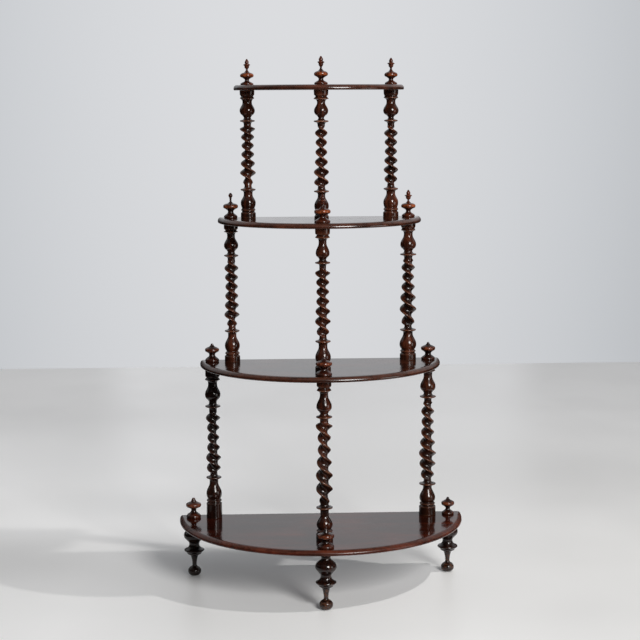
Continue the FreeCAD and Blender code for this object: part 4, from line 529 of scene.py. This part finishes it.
def make_foot(name, f, centre):
    top = SHELF_TOP["a"] - THICK
    pts = [(0.0, 0.0), (f["pad_r"], 0.0), (f["ball_r"], f["ball_z"]), (f["ball_r"] * 0.93, f["ball_z"] + 4.8),
           (f["ball_r"] * 0.74, f["ball_z"] + 8.8), (f["ball_r"] * 0.48, f["ball_z"] + 11.4),
           (f["stem_r"] + 0.9, f["ball_z"] + 13.0), (f["stem_r"], f["stem_z"]),
           (f["stem_r"] + 4.1, f["disc_z"] - 13.7), (f["disc_r"] - 8.0, f["disc_z"] - 9.5),
           (f["disc_r"] - 6.4, f["disc_z"] - 5.9), (f["disc_r"] - 0.7, f["disc_z"] - 1.5),
           (f["disc_r"], f["disc_z"]), (f["disc_r"] - 1.0, f["disc_z"] + 1.9),
           (f["waist_r"] + 4.7, f["disc_z"] + 5.3), (f["waist_r"], f["waist_z"]),
           (f["waist_r"] + 4.1, f["waist_z"] + 8.1), (f["bulb_r"] - 2.2, f["bulb_z"] - 6.6),
           (f["bulb_r"], f["bulb_z"]), (f["bulb_r"] - 3.8, f["bulb_z"] + 9.4),
           (f["neck_r"] + 4.2, f["neck_z"] - 6.2), (f["neck_r"], f["neck_z"]),
           (f["neck_r"] + 3.4, top - 5.6), (f["flange_r"], top - 4.4), (f["flange_r"], top), (0.0, top)]
    bends = ["line", "to", "from", "line", "line", "line", "to", "from", "line", "line", "line", "line", "line",
             "line", "to", "from", "line", "to", "from", "line", "to", "from", "line", "line", "line"]
    # the polish is worn through on the ball and the stem, and kept in the turning above
    rows = []
    for z, r, deep, proud in drawn(pts, bends, 0.5):
        low = 0.9 * min(1.0, max(0.0, (f["disc_z"] - 7.0 - z) / 6.0))
        rows.append((z, r, deep, max(proud * 0.7, low)))
    return lathe(name, rows, centre)


# ---------------------------------------------------------------- shelves
def outline(level, spacing=3.0):
    """Points and outward normals round the shelf, anticlockwise seen from above."""
    a, depth = SHELF_HALF[level], SHELF_DEPTH[level]
    side = BACK - SHELF_SIDE
    b = side - (BACK - depth)
    t = np.linspace(math.pi, 2 * math.pi, 900)
    pts = [np.stack([a * np.cos(t), side + b * np.sin(t)], 1)]
    nrm = [np.stack([np.cos(t) / a, np.sin(t) / b], 1)]
    r = SHELF_CORNER
    y0 = BACK - r

    def straight(p, q, n, count):
        s = (np.arange(count) + 0.5) / count
        p, q = np.array(p, float), np.array(q, float)
        pts.append(p + (q - p) * s[:, None])
        nrm.append(np.repeat([n], count, 0))

    def corner(cx, cy, a0):
        s = a0 + np.linspace(0, math.pi / 2, 13)
        pts.append(np.stack([cx + r * np.cos(s), cy + r * np.sin(s)], 1))
        nrm.append(np.stack([np.cos(s), np.sin(s)], 1))

    straight((a, side), (a, y0), (1.0, 0.0), 2)
    corner(a - r, y0, 0.0)
    straight((a - r, BACK), (-a + r, BACK), (0.0, 1.0), 160)
    corner(-a + r, y0, math.pi / 2)
    straight((-a, y0), (-a, side), (-1.0, 0.0), 2)
    # even out the long front arc and leave the rest as it is
    front, fn = pts[0], nrm[0]
    run = np.concatenate([[0], np.cumsum(np.linalg.norm(np.diff(front, axis=0), axis=1))])
    s = np.linspace(0, run[-1], int(run[-1] / spacing))
    pts[0] = np.stack([np.interp(s, run, front[:, k]) for k in range(2)], 1)
    nrm[0] = np.stack([np.interp(s, run, fn[:, k]) for k in range(2)], 1)
    p, n = np.concatenate(pts), np.concatenate(nrm)
    return p, n / np.linalg.norm(n, axis=1)[:, None]


def moulding():
    """Edge of a shelf from the flat top out, down and back under: (inset, z) rows."""
    # a shallow round that starts with a slight crease at the flat top
    first = math.radians(9)
    t = np.linspace(first, math.pi / 2, 26)
    wide = 11.8 / (1 - math.sin(first))
    pts = [(21.0, THICK), (15.0, THICK), (11.8, THICK)]
    pts += [(wide - wide * math.sin(a), THICK - 8.3 * (math.cos(first) - math.cos(a)) / math.cos(first)) for a in t[1:]]
    pts += [(0.0, 4.4)]
    pts += [(3.6 - 3.6 * math.cos(a), 3.6 - 3.6 * math.sin(a)) for a in np.linspace(0, math.pi / 2, 8)]
    pts += [(9.0, 0.0), (21.0, 0.0)]
    line = even(np.array(pts, float), 0.15)
    line = soften(line, 0.15, 0.30)
    d = np.gradient(line, axis=0)
    turn = np.unwrap(np.arctan2(d[:, 1], d[:, 0]))
    curve = blurred(np.gradient(turn) / 0.15, 5)
    proud = np.clip((np.abs(curve) * (curve < 0) - 0.10) / 0.35, 0, 1)
    if proud[len(proud) // 4: 3 * len(proud) // 4].mean() < 0.02:
        proud = np.clip((curve - 0.10) / 0.35, 0, 1)
    # painted shade in the crease at the top of the edge and on the round under the edge
    quirk = 0.30 * np.exp(-((line[:, 0] - 12.3) / 0.7) ** 2) * (line[:, 1] > 9.0)
    under = np.clip((3.0 - line[:, 1]) / 3.0, 0, 1) * 0.35
    deep = np.clip(quirk + under, 0, 1)
    band = 0.40 * np.clip((11.5 - line[:, 0]) / 3.0, 0, 1) * np.clip((line[:, 1] - 4.5) / 2.5, 0, 1)
    proud = np.clip(np.maximum(proud * 0.6, band) - quirk, 0, 1)
    keep = thinned(line, 0.02, 2.2)
    return [(line[k, 0], line[k, 1], deep[k], proud[k]) for k in keep]


def make_shelf(name, level):
    p, n = outline(level)
    count = len(p)
    z0 = SHELF_TOP[level] - THICK
    verts, deep, proud = [], [], []
    rows = moulding()
    # the edge draws in towards the back, where the corners are tight
    far = np.clip((BACK - p[:, 1] - 14.0) / 32.0, 0, 1)
    narrow = (0.55 + 0.45 * far * far * (3 - 2 * far))[:, None]
    for inset, z, d, w in rows:
        q = p - n * inset * (narrow if inset < 13.5 else narrow * 13.0 / inset + (1 - 13.0 / inset) * narrow ** 5)
        verts += [(x, y, z0 + z) for x, y in q]
        deep += [d] * count
        proud += [w] * count
    faces = []
    for k in range(len(rows) - 1):
        a, b = k * count, (k + 1) * count
        for j in range(count):
            i = (j + 1) % count
            faces.append((a + j, b + j, b + i, a + i))
    # flat top and underside: a loose grid of points inside the last row
    for row, z, up in ((0, THICK, True), (len(rows) - 1, 0.0, False)):
        loop = [Vector((float(verts[row * count + j][0]), float(verts[row * count + j][1]))) for j in range(count)]
        a, depth = SHELF_HALF[level] - 24, SHELF_DEPTH[level] - 36
        inner = []
        grid = 15.0
        for gx in np.arange(-a, a + 1, grid):
            for gy in np.arange(BACK - 26, BACK - depth - 30, -grid):
                if (gx / a) ** 2 + (max(0.0, (BACK - 14) - gy) / (depth - 4)) ** 2 < 1:
                    inner.append(Vector((float(gx), float(gy))))
        edge = [(j, (j + 1) % count) for j in range(count)]
        out_v, _, out_f, orig, _, _ = delaunay_2d_cdt(loop + inner, edge, [], 1, 1e-4)
        index = {}
        for k, v in enumerate(out_v):
            src = [s for s in orig[k] if s < count]
            if src:
                index[k] = row * count + src[0]
            else:
                index[k] = len(verts)
                verts.append((v.x, v.y, z0 + z))
                # painted shade: the underside is darkened
                deep.append(0.0 if up else 0.35)
                proud.append(0.0)
        for f in out_f:
            ids = [index[k] for k in f]
            area = sum(out_v[f[k]].x * out_v[f[(k + 1) % len(f)]].y - out_v[f[(k + 1) % len(f)]].x * out_v[f[k]].y for k in range(len(f)))
            if (area > 0) != up:
                ids.reverse()
            faces.append(tuple(ids))
    return as_object(name, np.array(verts) * MM, faces, deep, proud)


# ---------------------------------------------------------------- materials
class Tree:
    """Short hand for building a node tree."""

    def __init__(self, tree):
        self.tree = tree

    def add(self, kind, inputs=None, **settings):
        node = self.tree.nodes.new(kind)
        for k, v in settings.items():
            setattr(node, k, v)
        for k, v in (inputs or {}).items():
            self.feed(node.inputs[k], v)
        return node

    def feed(self, socket, v):
        if isinstance(v, bpy.types.NodeSocket):
            self.tree.links.new(v, socket)
        elif isinstance(v, bpy.types.Node):
            self.tree.links.new(v.outputs[0], socket)
        else:
            socket.default_value = v

    def math(self, op, a, b=0.5, c=None, clamp=False):
        ins = {0: a, 1: b}
        if c is not None:
            ins[2] = c
        return self.add("ShaderNodeMath", ins, operation=op, use_clamp=clamp).outputs[0]

    def span(self, v, a, b, c=0.0, d=1.0):
        return self.add("ShaderNodeMapRange", {0: v, 1: a, 2: b, 3: c, 4: d}, interpolation_type="SMOOTHSTEP").outputs[0]

    def mix(self, f, a, b, mode="MIX"):
        node = self.tree.nodes.new("ShaderNodeMix")
        node.data_type = "RGBA"
        node.blend_type = mode
        self.feed(node.inputs[0], f)
        self.feed(node.inputs[6], a)
        self.feed(node.inputs[7], b)
        return node.outputs[2]

    def noise(self, coord, scale, detail=4.0, rough=0.55, twist=0.0):
        return self.add("ShaderNodeTexNoise", {"Vector": coord, "Scale": scale, "Detail": detail, "Roughness": rough, "Distortion": twist}).outputs[0]


def wood(name, dark, mid, light, along, shine, turned, pore_and_shade_colour=(0.0045, 0.0022, 0.0015), wear_and_highlight=(0.16, 0.055, 0.024), ior=1.47, coarse=1.0, wear_and_highlight_mix=0.60, spots=95.0, mottle=(0.30, 0.66, 0.25, 0.95), cloud=1.0, satin=0.0):
    """Polished dark wood whose grain runs along one axis."""
    mat = bpy.data.materials.new(name)
    mat.use_nodes = True
    mat.node_tree.nodes.clear()
    t = Tree(mat.node_tree)
    coord = t.add("ShaderNodeTexCoord").outputs["Object"]
    # long way of the grain drawn out
    long_fibre = {"z": (1.0, 1.0, 0.045), "x": (0.03, 1.0, 1.0)}[along]
    long_figure = {"z": (1.0, 1.0, 0.16), "x": (0.10, 1.0, 1.0)}[along]
    fibre = t.add("ShaderNodeMapping", {"Vector": coord, "Scale": long_fibre}).outputs[0]
    figure = t.add("ShaderNodeMapping", {"Vector": coord, "Scale": long_figure}).outputs[0]
    patches = t.noise(coord, 5.5, 2.0, 0.5)
    bands = t.noise(figure, 42.0, 5.0, 0.6, 1.3)
    streaks = t.noise(fibre, 260.0, 4.0, 0.65, 0.4)
    pores = t.noise(fibre, 1150.0, 2.0, 0.5)
    # base colour
    tone = t.math("ADD", t.math("MULTIPLY", bands, 0.62), t.math("MULTIPLY", patches, 0.38))
    low = t.mix(t.span(tone, 0.40, 0.60), (*dark, 1), (*mid, 1))
    high = t.mix(t.span(tone, 0.52, 0.70), low, (*light, 1))
    lined = t.mix(t.span(streaks, 0.50, 0.72, 0.0, 0.62 * coarse), high, (*dark, 1))
    pore = t.span(pores, 0.60, 0.70)
    pored = t.mix(t.math("MULTIPLY", pore, 0.55 * coarse), lined, (*pore_and_shade_colour, 1))
    # polish rubbed thin on proud edges, with a painted highlight on the finial balls; painted shade darkens the marked
    # hollows, creases and undersides, in patches
    spot = t.noise(coord, spots, 3.0, 0.6)
    proud = t.add("ShaderNodeAttribute", attribute_name="proud").outputs["Fac"]
    recess = t.add("ShaderNodeAttribute", attribute_name="recess").outputs["Fac"]
    rub_and_highlight_mask = t.math("MULTIPLY", proud, t.span(spot, *mottle), clamp=True)
    with_wear_and_highlight = t.mix(t.math("MULTIPLY", rub_and_highlight_mask, wear_and_highlight_mix), pored, (*wear_and_highlight, 1))
    painted_shade = t.math("MULTIPLY", recess, t.span(spot, 0.22, 0.62, 1.0, 0.62), clamp=True)
    with_painted_shade = t.mix(t.math("MULTIPLY", painted_shade, 0.85), with_wear_and_highlight, (*pore_and_shade_colour, 1))
    # gloss: cloudy rubbing marks, duller in hollows and on rubbed edges
    haze = t.noise(coord, 26.0, 5.0, 0.65)
    fine = t.noise(fibre, 420.0, 2.0, 0.5)
    dull = t.math("ADD", t.span(haze, 0.35, 0.70, 0.0, 0.10 * cloud), t.span(fine, 0.35, 0.75, 0.0, 0.05 * cloud))
    dull = t.math("ADD", dull, t.math("MULTIPLY", recess, 0.05))
    dull = t.math("ADD", dull, t.math("MULTIPLY", rub_and_highlight_mask, 0.10))
    dull = t.math("ADD", dull, t.math("MULTIPLY", t.math("MULTIPLY", proud, 2.5, clamp=True), satin))
    rough = t.math("ADD", dull, shine, clamp=True)
    # relief: open pores, drag of the rubber, a faint unevenness of the polish
    relief = t.math("MULTIPLY", pore, -0.35 * coarse)
    relief = t.math("ADD", relief, t.math("MULTIPLY", streaks, 0.30 * coarse))
    if turned:
        up = t.add("ShaderNodeSeparateXYZ", {0: coord}).outputs[2]
        ridges = t.add("ShaderNodeTexNoise", {"W": up, "Scale": 700.0, "Detail": 2.0}, noise_dimensions="1D").outputs[0]
        relief = t.math("ADD", relief, t.math("MULTIPLY", ridges, 0.40))
    sway = t.noise(coord, 60.0 if turned else 22.0, 2.0, 0.5)
    relief = t.math("ADD", relief, t.math("MULTIPLY", sway, 2.2))
    bump = t.add("ShaderNodeBump", {"Strength": 0.30, "Distance": 0.00022, "Height": relief}).outputs[0]
    shader = t.add("ShaderNodeBsdfPrincipled", {
        "Base Color": with_painted_shade, "Roughness": rough, "Normal": bump, "IOR": ior, "Specular IOR Level": 0.5})
    out = t.add("ShaderNodeOutputMaterial")
    t.tree.links.new(shader.outputs[0], out.inputs[0])
    return mat


SHELF_WOOD = wood("polished_shelf", (0.010, 0.0035, 0.0022), (0.034, 0.0092, 0.0048), (0.075, 0.021, 0.010), "x", 0.055, False,
                  wear_and_highlight=(0.15, 0.050, 0.026), ior=1.53, cloud=0.7, satin=0.17)
BOTTOM_WOOD = wood("polished_bottom_shelf", (0.014, 0.0031, 0.0016), (0.048, 0.0076, 0.0036), (0.095, 0.019, 0.0075), "x", 0.060,
                   False, wear_and_highlight=(0.15, 0.050, 0.026), ior=1.383, cloud=0.5, satin=0.17)
TURNED_WOOD = wood("polished_turning", (0.011, 0.0036, 0.0021), (0.048, 0.0118, 0.0052), (0.105, 0.028, 0.012), "z", 0.10, True,
                   wear_and_highlight=(0.165, 0.064, 0.032), coarse=0.6)
UPPER_WOOD = wood("polished_upper_turning", (0.013, 0.0040, 0.0022), (0.060, 0.0148, 0.0064), (0.125, 0.034, 0.014), "z", 0.10, True,
                  wear_and_highlight=(0.260, 0.110, 0.062), coarse=0.6)
# shaded and lit copies of the turning wood for the lower left and lower right columns: painted shade and painted light
SHADED_TURNING_WOOD = wood("polished_turning_painted_shade", (0.006, 0.0024, 0.0016), (0.019, 0.0056, 0.0034), (0.044, 0.014, 0.0075), "z", 0.10, True,
                 wear_and_highlight=(0.075, 0.028, 0.016), coarse=0.6)
LIT_TURNING_WOOD = wood("polished_turning_painted_light", (0.014, 0.0044, 0.0024), (0.062, 0.0160, 0.0066), (0.135, 0.038, 0.015), "z", 0.10, True,
                 wear_and_highlight=(0.18, 0.064, 0.028), coarse=0.6)
FINIAL_WOOD = wood("polished_finial", (0.014, 0.0038, 0.0022), (0.058, 0.0122, 0.0052), (0.120, 0.028, 0.010), "z", 0.10, True,
                   wear_and_highlight=(0.215, 0.050, 0.013), coarse=0.6, wear_and_highlight_mix=0.88, spots=130.0, mottle=(0.42, 0.60, 0.15, 1.0))
LOW_FINIAL_WOOD = wood("polished_low_finial", (0.011, 0.0032, 0.0020), (0.046, 0.0096, 0.0044), (0.096, 0.022, 0.009), "z", 0.10,
                       True, wear_and_highlight=(0.135, 0.033, 0.011), coarse=0.6, wear_and_highlight_mix=0.88, spots=130.0, mottle=(0.42, 0.60, 0.12, 1.0))
FOOT_WOOD = wood("polished_foot", (0.005, 0.0021, 0.0015), (0.016, 0.0046, 0.0027), (0.038, 0.011, 0.0052), "z", 0.09, True,
                 wear_and_highlight=(0.088, 0.033, 0.015), coarse=0.6, wear_and_highlight_mix=0.80, spots=210.0, mottle=(0.44, 0.64, 0.0, 1.0))
# a darker copy of the foot wood for the left foot: painted shade of the shelf's shadow
SHADED_FOOT_WOOD = wood("polished_foot_painted_shade", (0.004, 0.0020, 0.0015), (0.011, 0.0040, 0.0026), (0.026, 0.009, 0.005), "z", 0.10, True,
                      wear_and_highlight=(0.018, 0.008, 0.005), coarse=0.6, ior=1.42)


# ---------------------------------------------------------------- pieces
def stand_for(obj, node, mat):
    obj.data.materials.append(mat)
    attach(obj, "root")
    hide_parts(node)


for level in "abcd":
    node = SHELF_NAMES[level]
    stand_for(make_shelf(node + "_board", level), node, BOTTOM_WOOD if level == "a" else SHELF_WOOD)

for side in SIDES:
    x, y = post_spot("a", side)
    node = "foot_" + side
    stand_for(make_foot(node + "_turning", FEET[side], (x, y, 0.0)), node,
              SHADED_FOOT_WOOD if side == "left" else FOOT_WOOD)

for k, level in enumerate("abc"):
    for side in SIDES:
        x, y = post_spot("abcd"[k + 1], side)
        node = "%s_%s" % (COLUMN_NAMES[level], side)
        obj = make_column(node + "_turning", level + side, COLUMNS[level, side], (x, y, SHELF_TOP[level]), 11 * k + SIDES.index(side))
        # the lower left column takes the painted-shade copy, the lower right the painted-light copy
        stand_for(obj, node, {("a", "left"): SHADED_TURNING_WOOD, ("a", "right"): LIT_TURNING_WOOD, ("c", "front"): UPPER_WOOD}.get((level, side), TURNED_WOOD))

for level in "abcd":
    for side in SIDES:
        x, y = post_spot(level, side)
        node = "%s_%s" % (FINIAL_NAMES[level], side)
        stand_for(make_finial(node + "_turning", FINIALS[level, side], (x, y, SHELF_TOP[level])), node,
                  FINIAL_WOOD if level in "cd" else LOW_FINIAL_WOOD)


# ---------------------------------------------------------------- studio
def sweep(name, rows, mat, half_x=9.0, cols=24, shift=0.0):
    """A sheet that runs across the studio through (y, z) rows."""
    verts, faces = [], []
    for y, z in rows:
        for k in range(cols + 1):
            verts.append((shift - half_x + 2 * half_x * k / cols, y, z))
    for r in range(len(rows) - 1):
        for k in range(cols):
            a = r * (cols + 1) + k
            faces.append((a, a + 1, a + cols + 2, a + cols + 1))
    mesh = bpy.data.meshes.new(name)
    mesh.from_pydata(verts, [], faces)
    mesh.polygons.foreach_set("use_smooth", [True] * len(mesh.polygons))
    mesh.update()
    obj = bpy.data.objects.new(name, mesh)
    bpy.context.scene.collection.objects.link(obj)
    mesh.materials.append(mat)
    return obj


def floor_material():
    """Pale paper with a faint satin; painted light: it glows, brighter towards the wall and to the left, and is painted
    darker at the right front.
    """
    mat = bpy.data.materials.new("studio_floor")
    mat.use_nodes = True
    mat.node_tree.nodes.clear()
    t = Tree(mat.node_tree)
    coord = t.add("ShaderNodeTexCoord").outputs["Object"]
    xyz = t.add("ShaderNodeSeparateXYZ", {0: coord})
    mottled = t.noise(coord, 3.0, 3.0, 0.5)
    base = t.mix(mottled, (0.750, 0.748, 0.745, 1), (0.790, 0.788, 0.785, 1))
    # painted shade: the paper is darker towards the right front
    corner = t.math("MULTIPLY", t.span(xyz.outputs[0], 0.15, 0.6), t.span(xyz.outputs[1], 0.25, -0.25))
    base = t.mix(t.math("MULTIPLY", corner, 0.45), base, (0.580, 0.580, 0.580, 1))
    # painted light: the paper glows, more towards the wall, to the left, and near the left of the shelves
    back = t.math("ADD", t.span(xyz.outputs[1], 0.15, 0.75, 0.0, 0.070), t.span(xyz.outputs[1], 0.75, 2.05, 0.0, 0.125))
    back = t.math("ADD", back, t.span(xyz.outputs[1], 2.05, 3.00, 0.0, 0.028))
    sides = t.math("ADD", t.span(xyz.outputs[0], -0.05, -1.05, 0.0, 0.085), t.span(xyz.outputs[0], 0.05, 1.05, 0.0, 0.028))
    back = t.math("ADD", back, t.math("MULTIPLY", sides, t.span(xyz.outputs[1], 0.6, 2.0)))
    near = t.math("MULTIPLY", t.span(xyz.outputs[0], -0.25, -0.65, 0.0, 0.150), t.span(xyz.outputs[1], 0.55, -0.05))
    left = t.math("MULTIPLY", t.span(xyz.outputs[0], 0.1, -0.6, 0.0, 0.20), t.span(xyz.outputs[1], 0.1, 0.7))
    left = t.math("MULTIPLY", left, t.span(xyz.outputs[1], 2.2, 1.0))
    back = t.math("ADD", t.math("ADD", back, near), left)
    paper = t.add("ShaderNodeBsdfPrincipled", {"Base Color": base, "Roughness": t.span(mottled, 0.3, 0.7, 0.34, 0.42), "Specular IOR Level": 0.30,
                                               "Emission Color": (1.0, 1.0, 1.01, 1), "Emission Strength": back})
    # painted dark reflection: further than 0.7 m to either side and in front of the shelves, the floor turns dark in
    # reflections only
    dark_in_reflections = t.math("MAXIMUM", t.span(t.math("ABSOLUTE", xyz.outputs[0]), 0.70, 0.95), t.span(xyz.outputs[1], -0.20, -0.50))
    gloss = t.add("ShaderNodeLightPath").outputs["Is Glossy Ray"]
    dark = t.add("ShaderNodeBsdfDiffuse", {"Color": (0.02, 0.02, 0.02, 1)})
    both = t.add("ShaderNodeMixShader", {0: t.math("MULTIPLY", dark_in_reflections, gloss), 1: paper, 2: dark})
    out = t.add("ShaderNodeOutputMaterial")
    t.tree.links.new(both.outputs[0], out.inputs[0])
    return mat


WALL_Y = 3.42


def wall_material():
    """Evenly lit paper: mostly its own light, falling off to both sides and downwards."""
    mat = bpy.data.materials.new("studio_wall")
    mat.use_nodes = True
    mat.node_tree.nodes.clear()
    t = Tree(mat.node_tree)
    coord = t.add("ShaderNodeTexCoord").outputs["Object"]
    xyz = t.add("ShaderNodeSeparateXYZ", {0: coord})
    x = t.math("ADD", xyz.outputs[0], 0.02)
    side = t.math("MULTIPLY", t.math("MULTIPLY", x, x), 0.085)
    z = t.math("SUBTRACT", xyz.outputs[2], 1.5)
    drop = t.math("MULTIPLY", t.math("MULTIPLY", z, z), 0.020)
    level = t.math("SUBTRACT", 1.0, t.math("ADD", side, drop))
    level = t.math("MAXIMUM", level, 0.62)
    tint = t.mix(t.math("MULTIPLY", side, 6.0, clamp=True), (0.708, 0.717, 0.738, 1), (0.695, 0.717, 0.748, 1))
    colour = t.mix(1.0, tint, t.add("ShaderNodeCombineColor", {0: level, 1: level, 2: level}).outputs[0], "MULTIPLY")
    path = t.add("ShaderNodeLightPath")
    glow = t.add("ShaderNodeEmission", {"Color": colour, "Strength": t.math("SUBTRACT", 1.0, t.math("MULTIPLY", path.outputs["Is Diffuse Ray"], 0.55))})
    dim = t.add("ShaderNodeEmission", {"Color": (0.03, 0.03, 0.03, 1), "Strength": 1.0})
    # painted dark reflection: away from the middle and below 1.8 m, the wall turns dark in reflections only
    dark_in_reflections = t.span(t.math("ABSOLUTE", t.math("SUBTRACT", xyz.outputs[0], 0.12)), 0.80, 1.05)
    dark_in_reflections = t.math("MULTIPLY", dark_in_reflections, t.span(xyz.outputs[2], 1.80, 1.40))
    gloss = t.add("ShaderNodeLightPath").outputs["Is Glossy Ray"]
    both = t.add("ShaderNodeMixShader", {0: t.math("MULTIPLY", dark_in_reflections, gloss), 1: glow, 2: dim})
    out = t.add("ShaderNodeOutputMaterial")
    t.tree.links.new(both.outputs[0], out.inputs[0])
    return mat


sweep("studio_floor", [(-9.0, 0.0), (-6.0, 0.0), (-3.0, 0.0), (-1.0, 0.0), (0.5, 0.0), (2.0, 0.0), (WALL_Y - 0.20, 0.0)], floor_material())
CURVE = [(WALL_Y - 0.20 + 0.20 * math.sin(a), 0.20 - 0.20 * math.cos(a)) for a in np.linspace(0, math.pi / 2, 9)]
sweep("studio_wall", CURVE + [(WALL_Y, 1.0), (WALL_Y, 2.0), (WALL_Y, 3.4)], wall_material(), 2.8, 28, 0.1)


def panel(name, at, aim, size, watts, colour=(1, 1, 1)):
    lamp = bpy.data.lights.new(name, "AREA")
    lamp.shape = "RECTANGLE"
    lamp.size, lamp.size_y = size
    lamp.energy = watts
    lamp.color = colour
    obj = bpy.data.objects.new(name, lamp)
    bpy.context.scene.collection.objects.link(obj)
    obj.location = at
    obj.rotation_mode = "QUATERNION"
    obj.rotation_quaternion = (Vector(aim) - Vector(at)).to_track_quat("-Z", "Y")
    return obj


panel("hard_right", (1.28, -0.31, 1.91), (0.0, 0.0, 0.1), (0.05, 0.05), 16.8, (1.0, 0.985, 0.96)).visible_glossy = False
panel("soft_front_right", (1.85, -3.95, 2.62), (0.0, 0.0, 0.45), (1.50, 2.10), 255.0, (1.0, 0.99, 0.975))
# a white card on the right, seen only as a dim sheen on the polish
card = panel("side_card", (2.40, -1.20, 0.62), (0.0, 0.0, 0.60), (0.95, 1.20), 10.0, (1.0, 0.975, 0.95))
card.visible_diffuse = False
card.visible_camera = False

# the room: a bright ceiling over dark surroundings.  The camera sees plain pale paper where
# the wall ends, and the soft fill that a large room gives reaches matt surfaces only.
world = bpy.data.worlds.new("studio_air")
world.use_nodes = True
world.node_tree.nodes.clear()
t = Tree(world.node_tree)
up = t.add("ShaderNodeSeparateXYZ", {0: t.add("ShaderNodeTexCoord").outputs["Generated"]}).outputs[2]
back = t.span(t.add("ShaderNodeSeparateXYZ", {0: t.add("ShaderNodeTexCoord").outputs["Generated"]}).outputs[1], -0.15, 0.35)
belt = t.math("MULTIPLY", t.span(up, 0.12, 0.42, 0.0, 0.60), t.span(up, 0.88, 0.60))
shade = t.math("ADD", t.span(up, 0.50, 0.85, 0.012, 0.20), t.math("MULTIPLY", belt, back))
air = t.add("ShaderNodeCombineColor", {0: shade, 1: shade, 2: shade}).outputs[0]
room = t.add("ShaderNodeBackground", {"Color": air, "Strength": 1.0})
fill = t.add("ShaderNodeBackground", {"Color": (0.130, 0.133, 0.137, 1), "Strength": 1.0})
paper = t.add("ShaderNodeBackground", {"Color": (0.655, 0.670, 0.695, 1), "Strength": 1.0})
path = t.add("ShaderNodeLightPath")
lit = t.add("ShaderNodeMixShader", {0: path.outputs["Is Diffuse Ray"], 1: room, 2: fill})
both = t.add("ShaderNodeMixShader", {0: path.outputs["Is Camera Ray"], 1: lit, 2: paper})
out = t.add("ShaderNodeOutputWorld")
t.tree.links.new(both.outputs[0], out.inputs[0])
bpy.context.scene.world = world

# ---------------------------------------------------------------- camera
YAW, PITCH, ROLL = 0.037497, -0.139777, 0.004810
right = Vector((math.cos(YAW), -math.sin(YAW), 0.0))
ahead = Vector((math.sin(YAW), math.cos(YAW), 0.0))
above = Vector((0.0, 0.0, 1.0))
look = ahead * math.cos(PITCH) + above * math.sin(PITCH)
over = above * math.cos(PITCH) - ahead * math.sin(PITCH)
cam_x = right * math.cos(ROLL) - over * math.sin(ROLL)
cam_y = right * math.sin(ROLL) + over * math.cos(ROLL)
data = bpy.data.cameras.new("camera")
data.sensor_fit = "AUTO"
data.sensor_width = 36.0
data.lens = 1583.466 / 640 * 36.0
data.clip_start, data.clip_end = 0.05, 60.0
cam = bpy.data.objects.new("camera", data)
bpy.context.scene.collection.objects.link(cam)
spot = Vector((-0.143725, -3.6775, 1.174035))
cam.matrix_world = Matrix(((cam_x.x, cam_y.x, -look.x, spot.x), (cam_x.y, cam_y.y, -look.y, spot.y),
                           (cam_x.z, cam_y.z, -look.z, spot.z), (0, 0, 0, 1)))
bpy.context.scene.camera = cam
bpy.context.scene.view_settings.view_transform = "Standard"
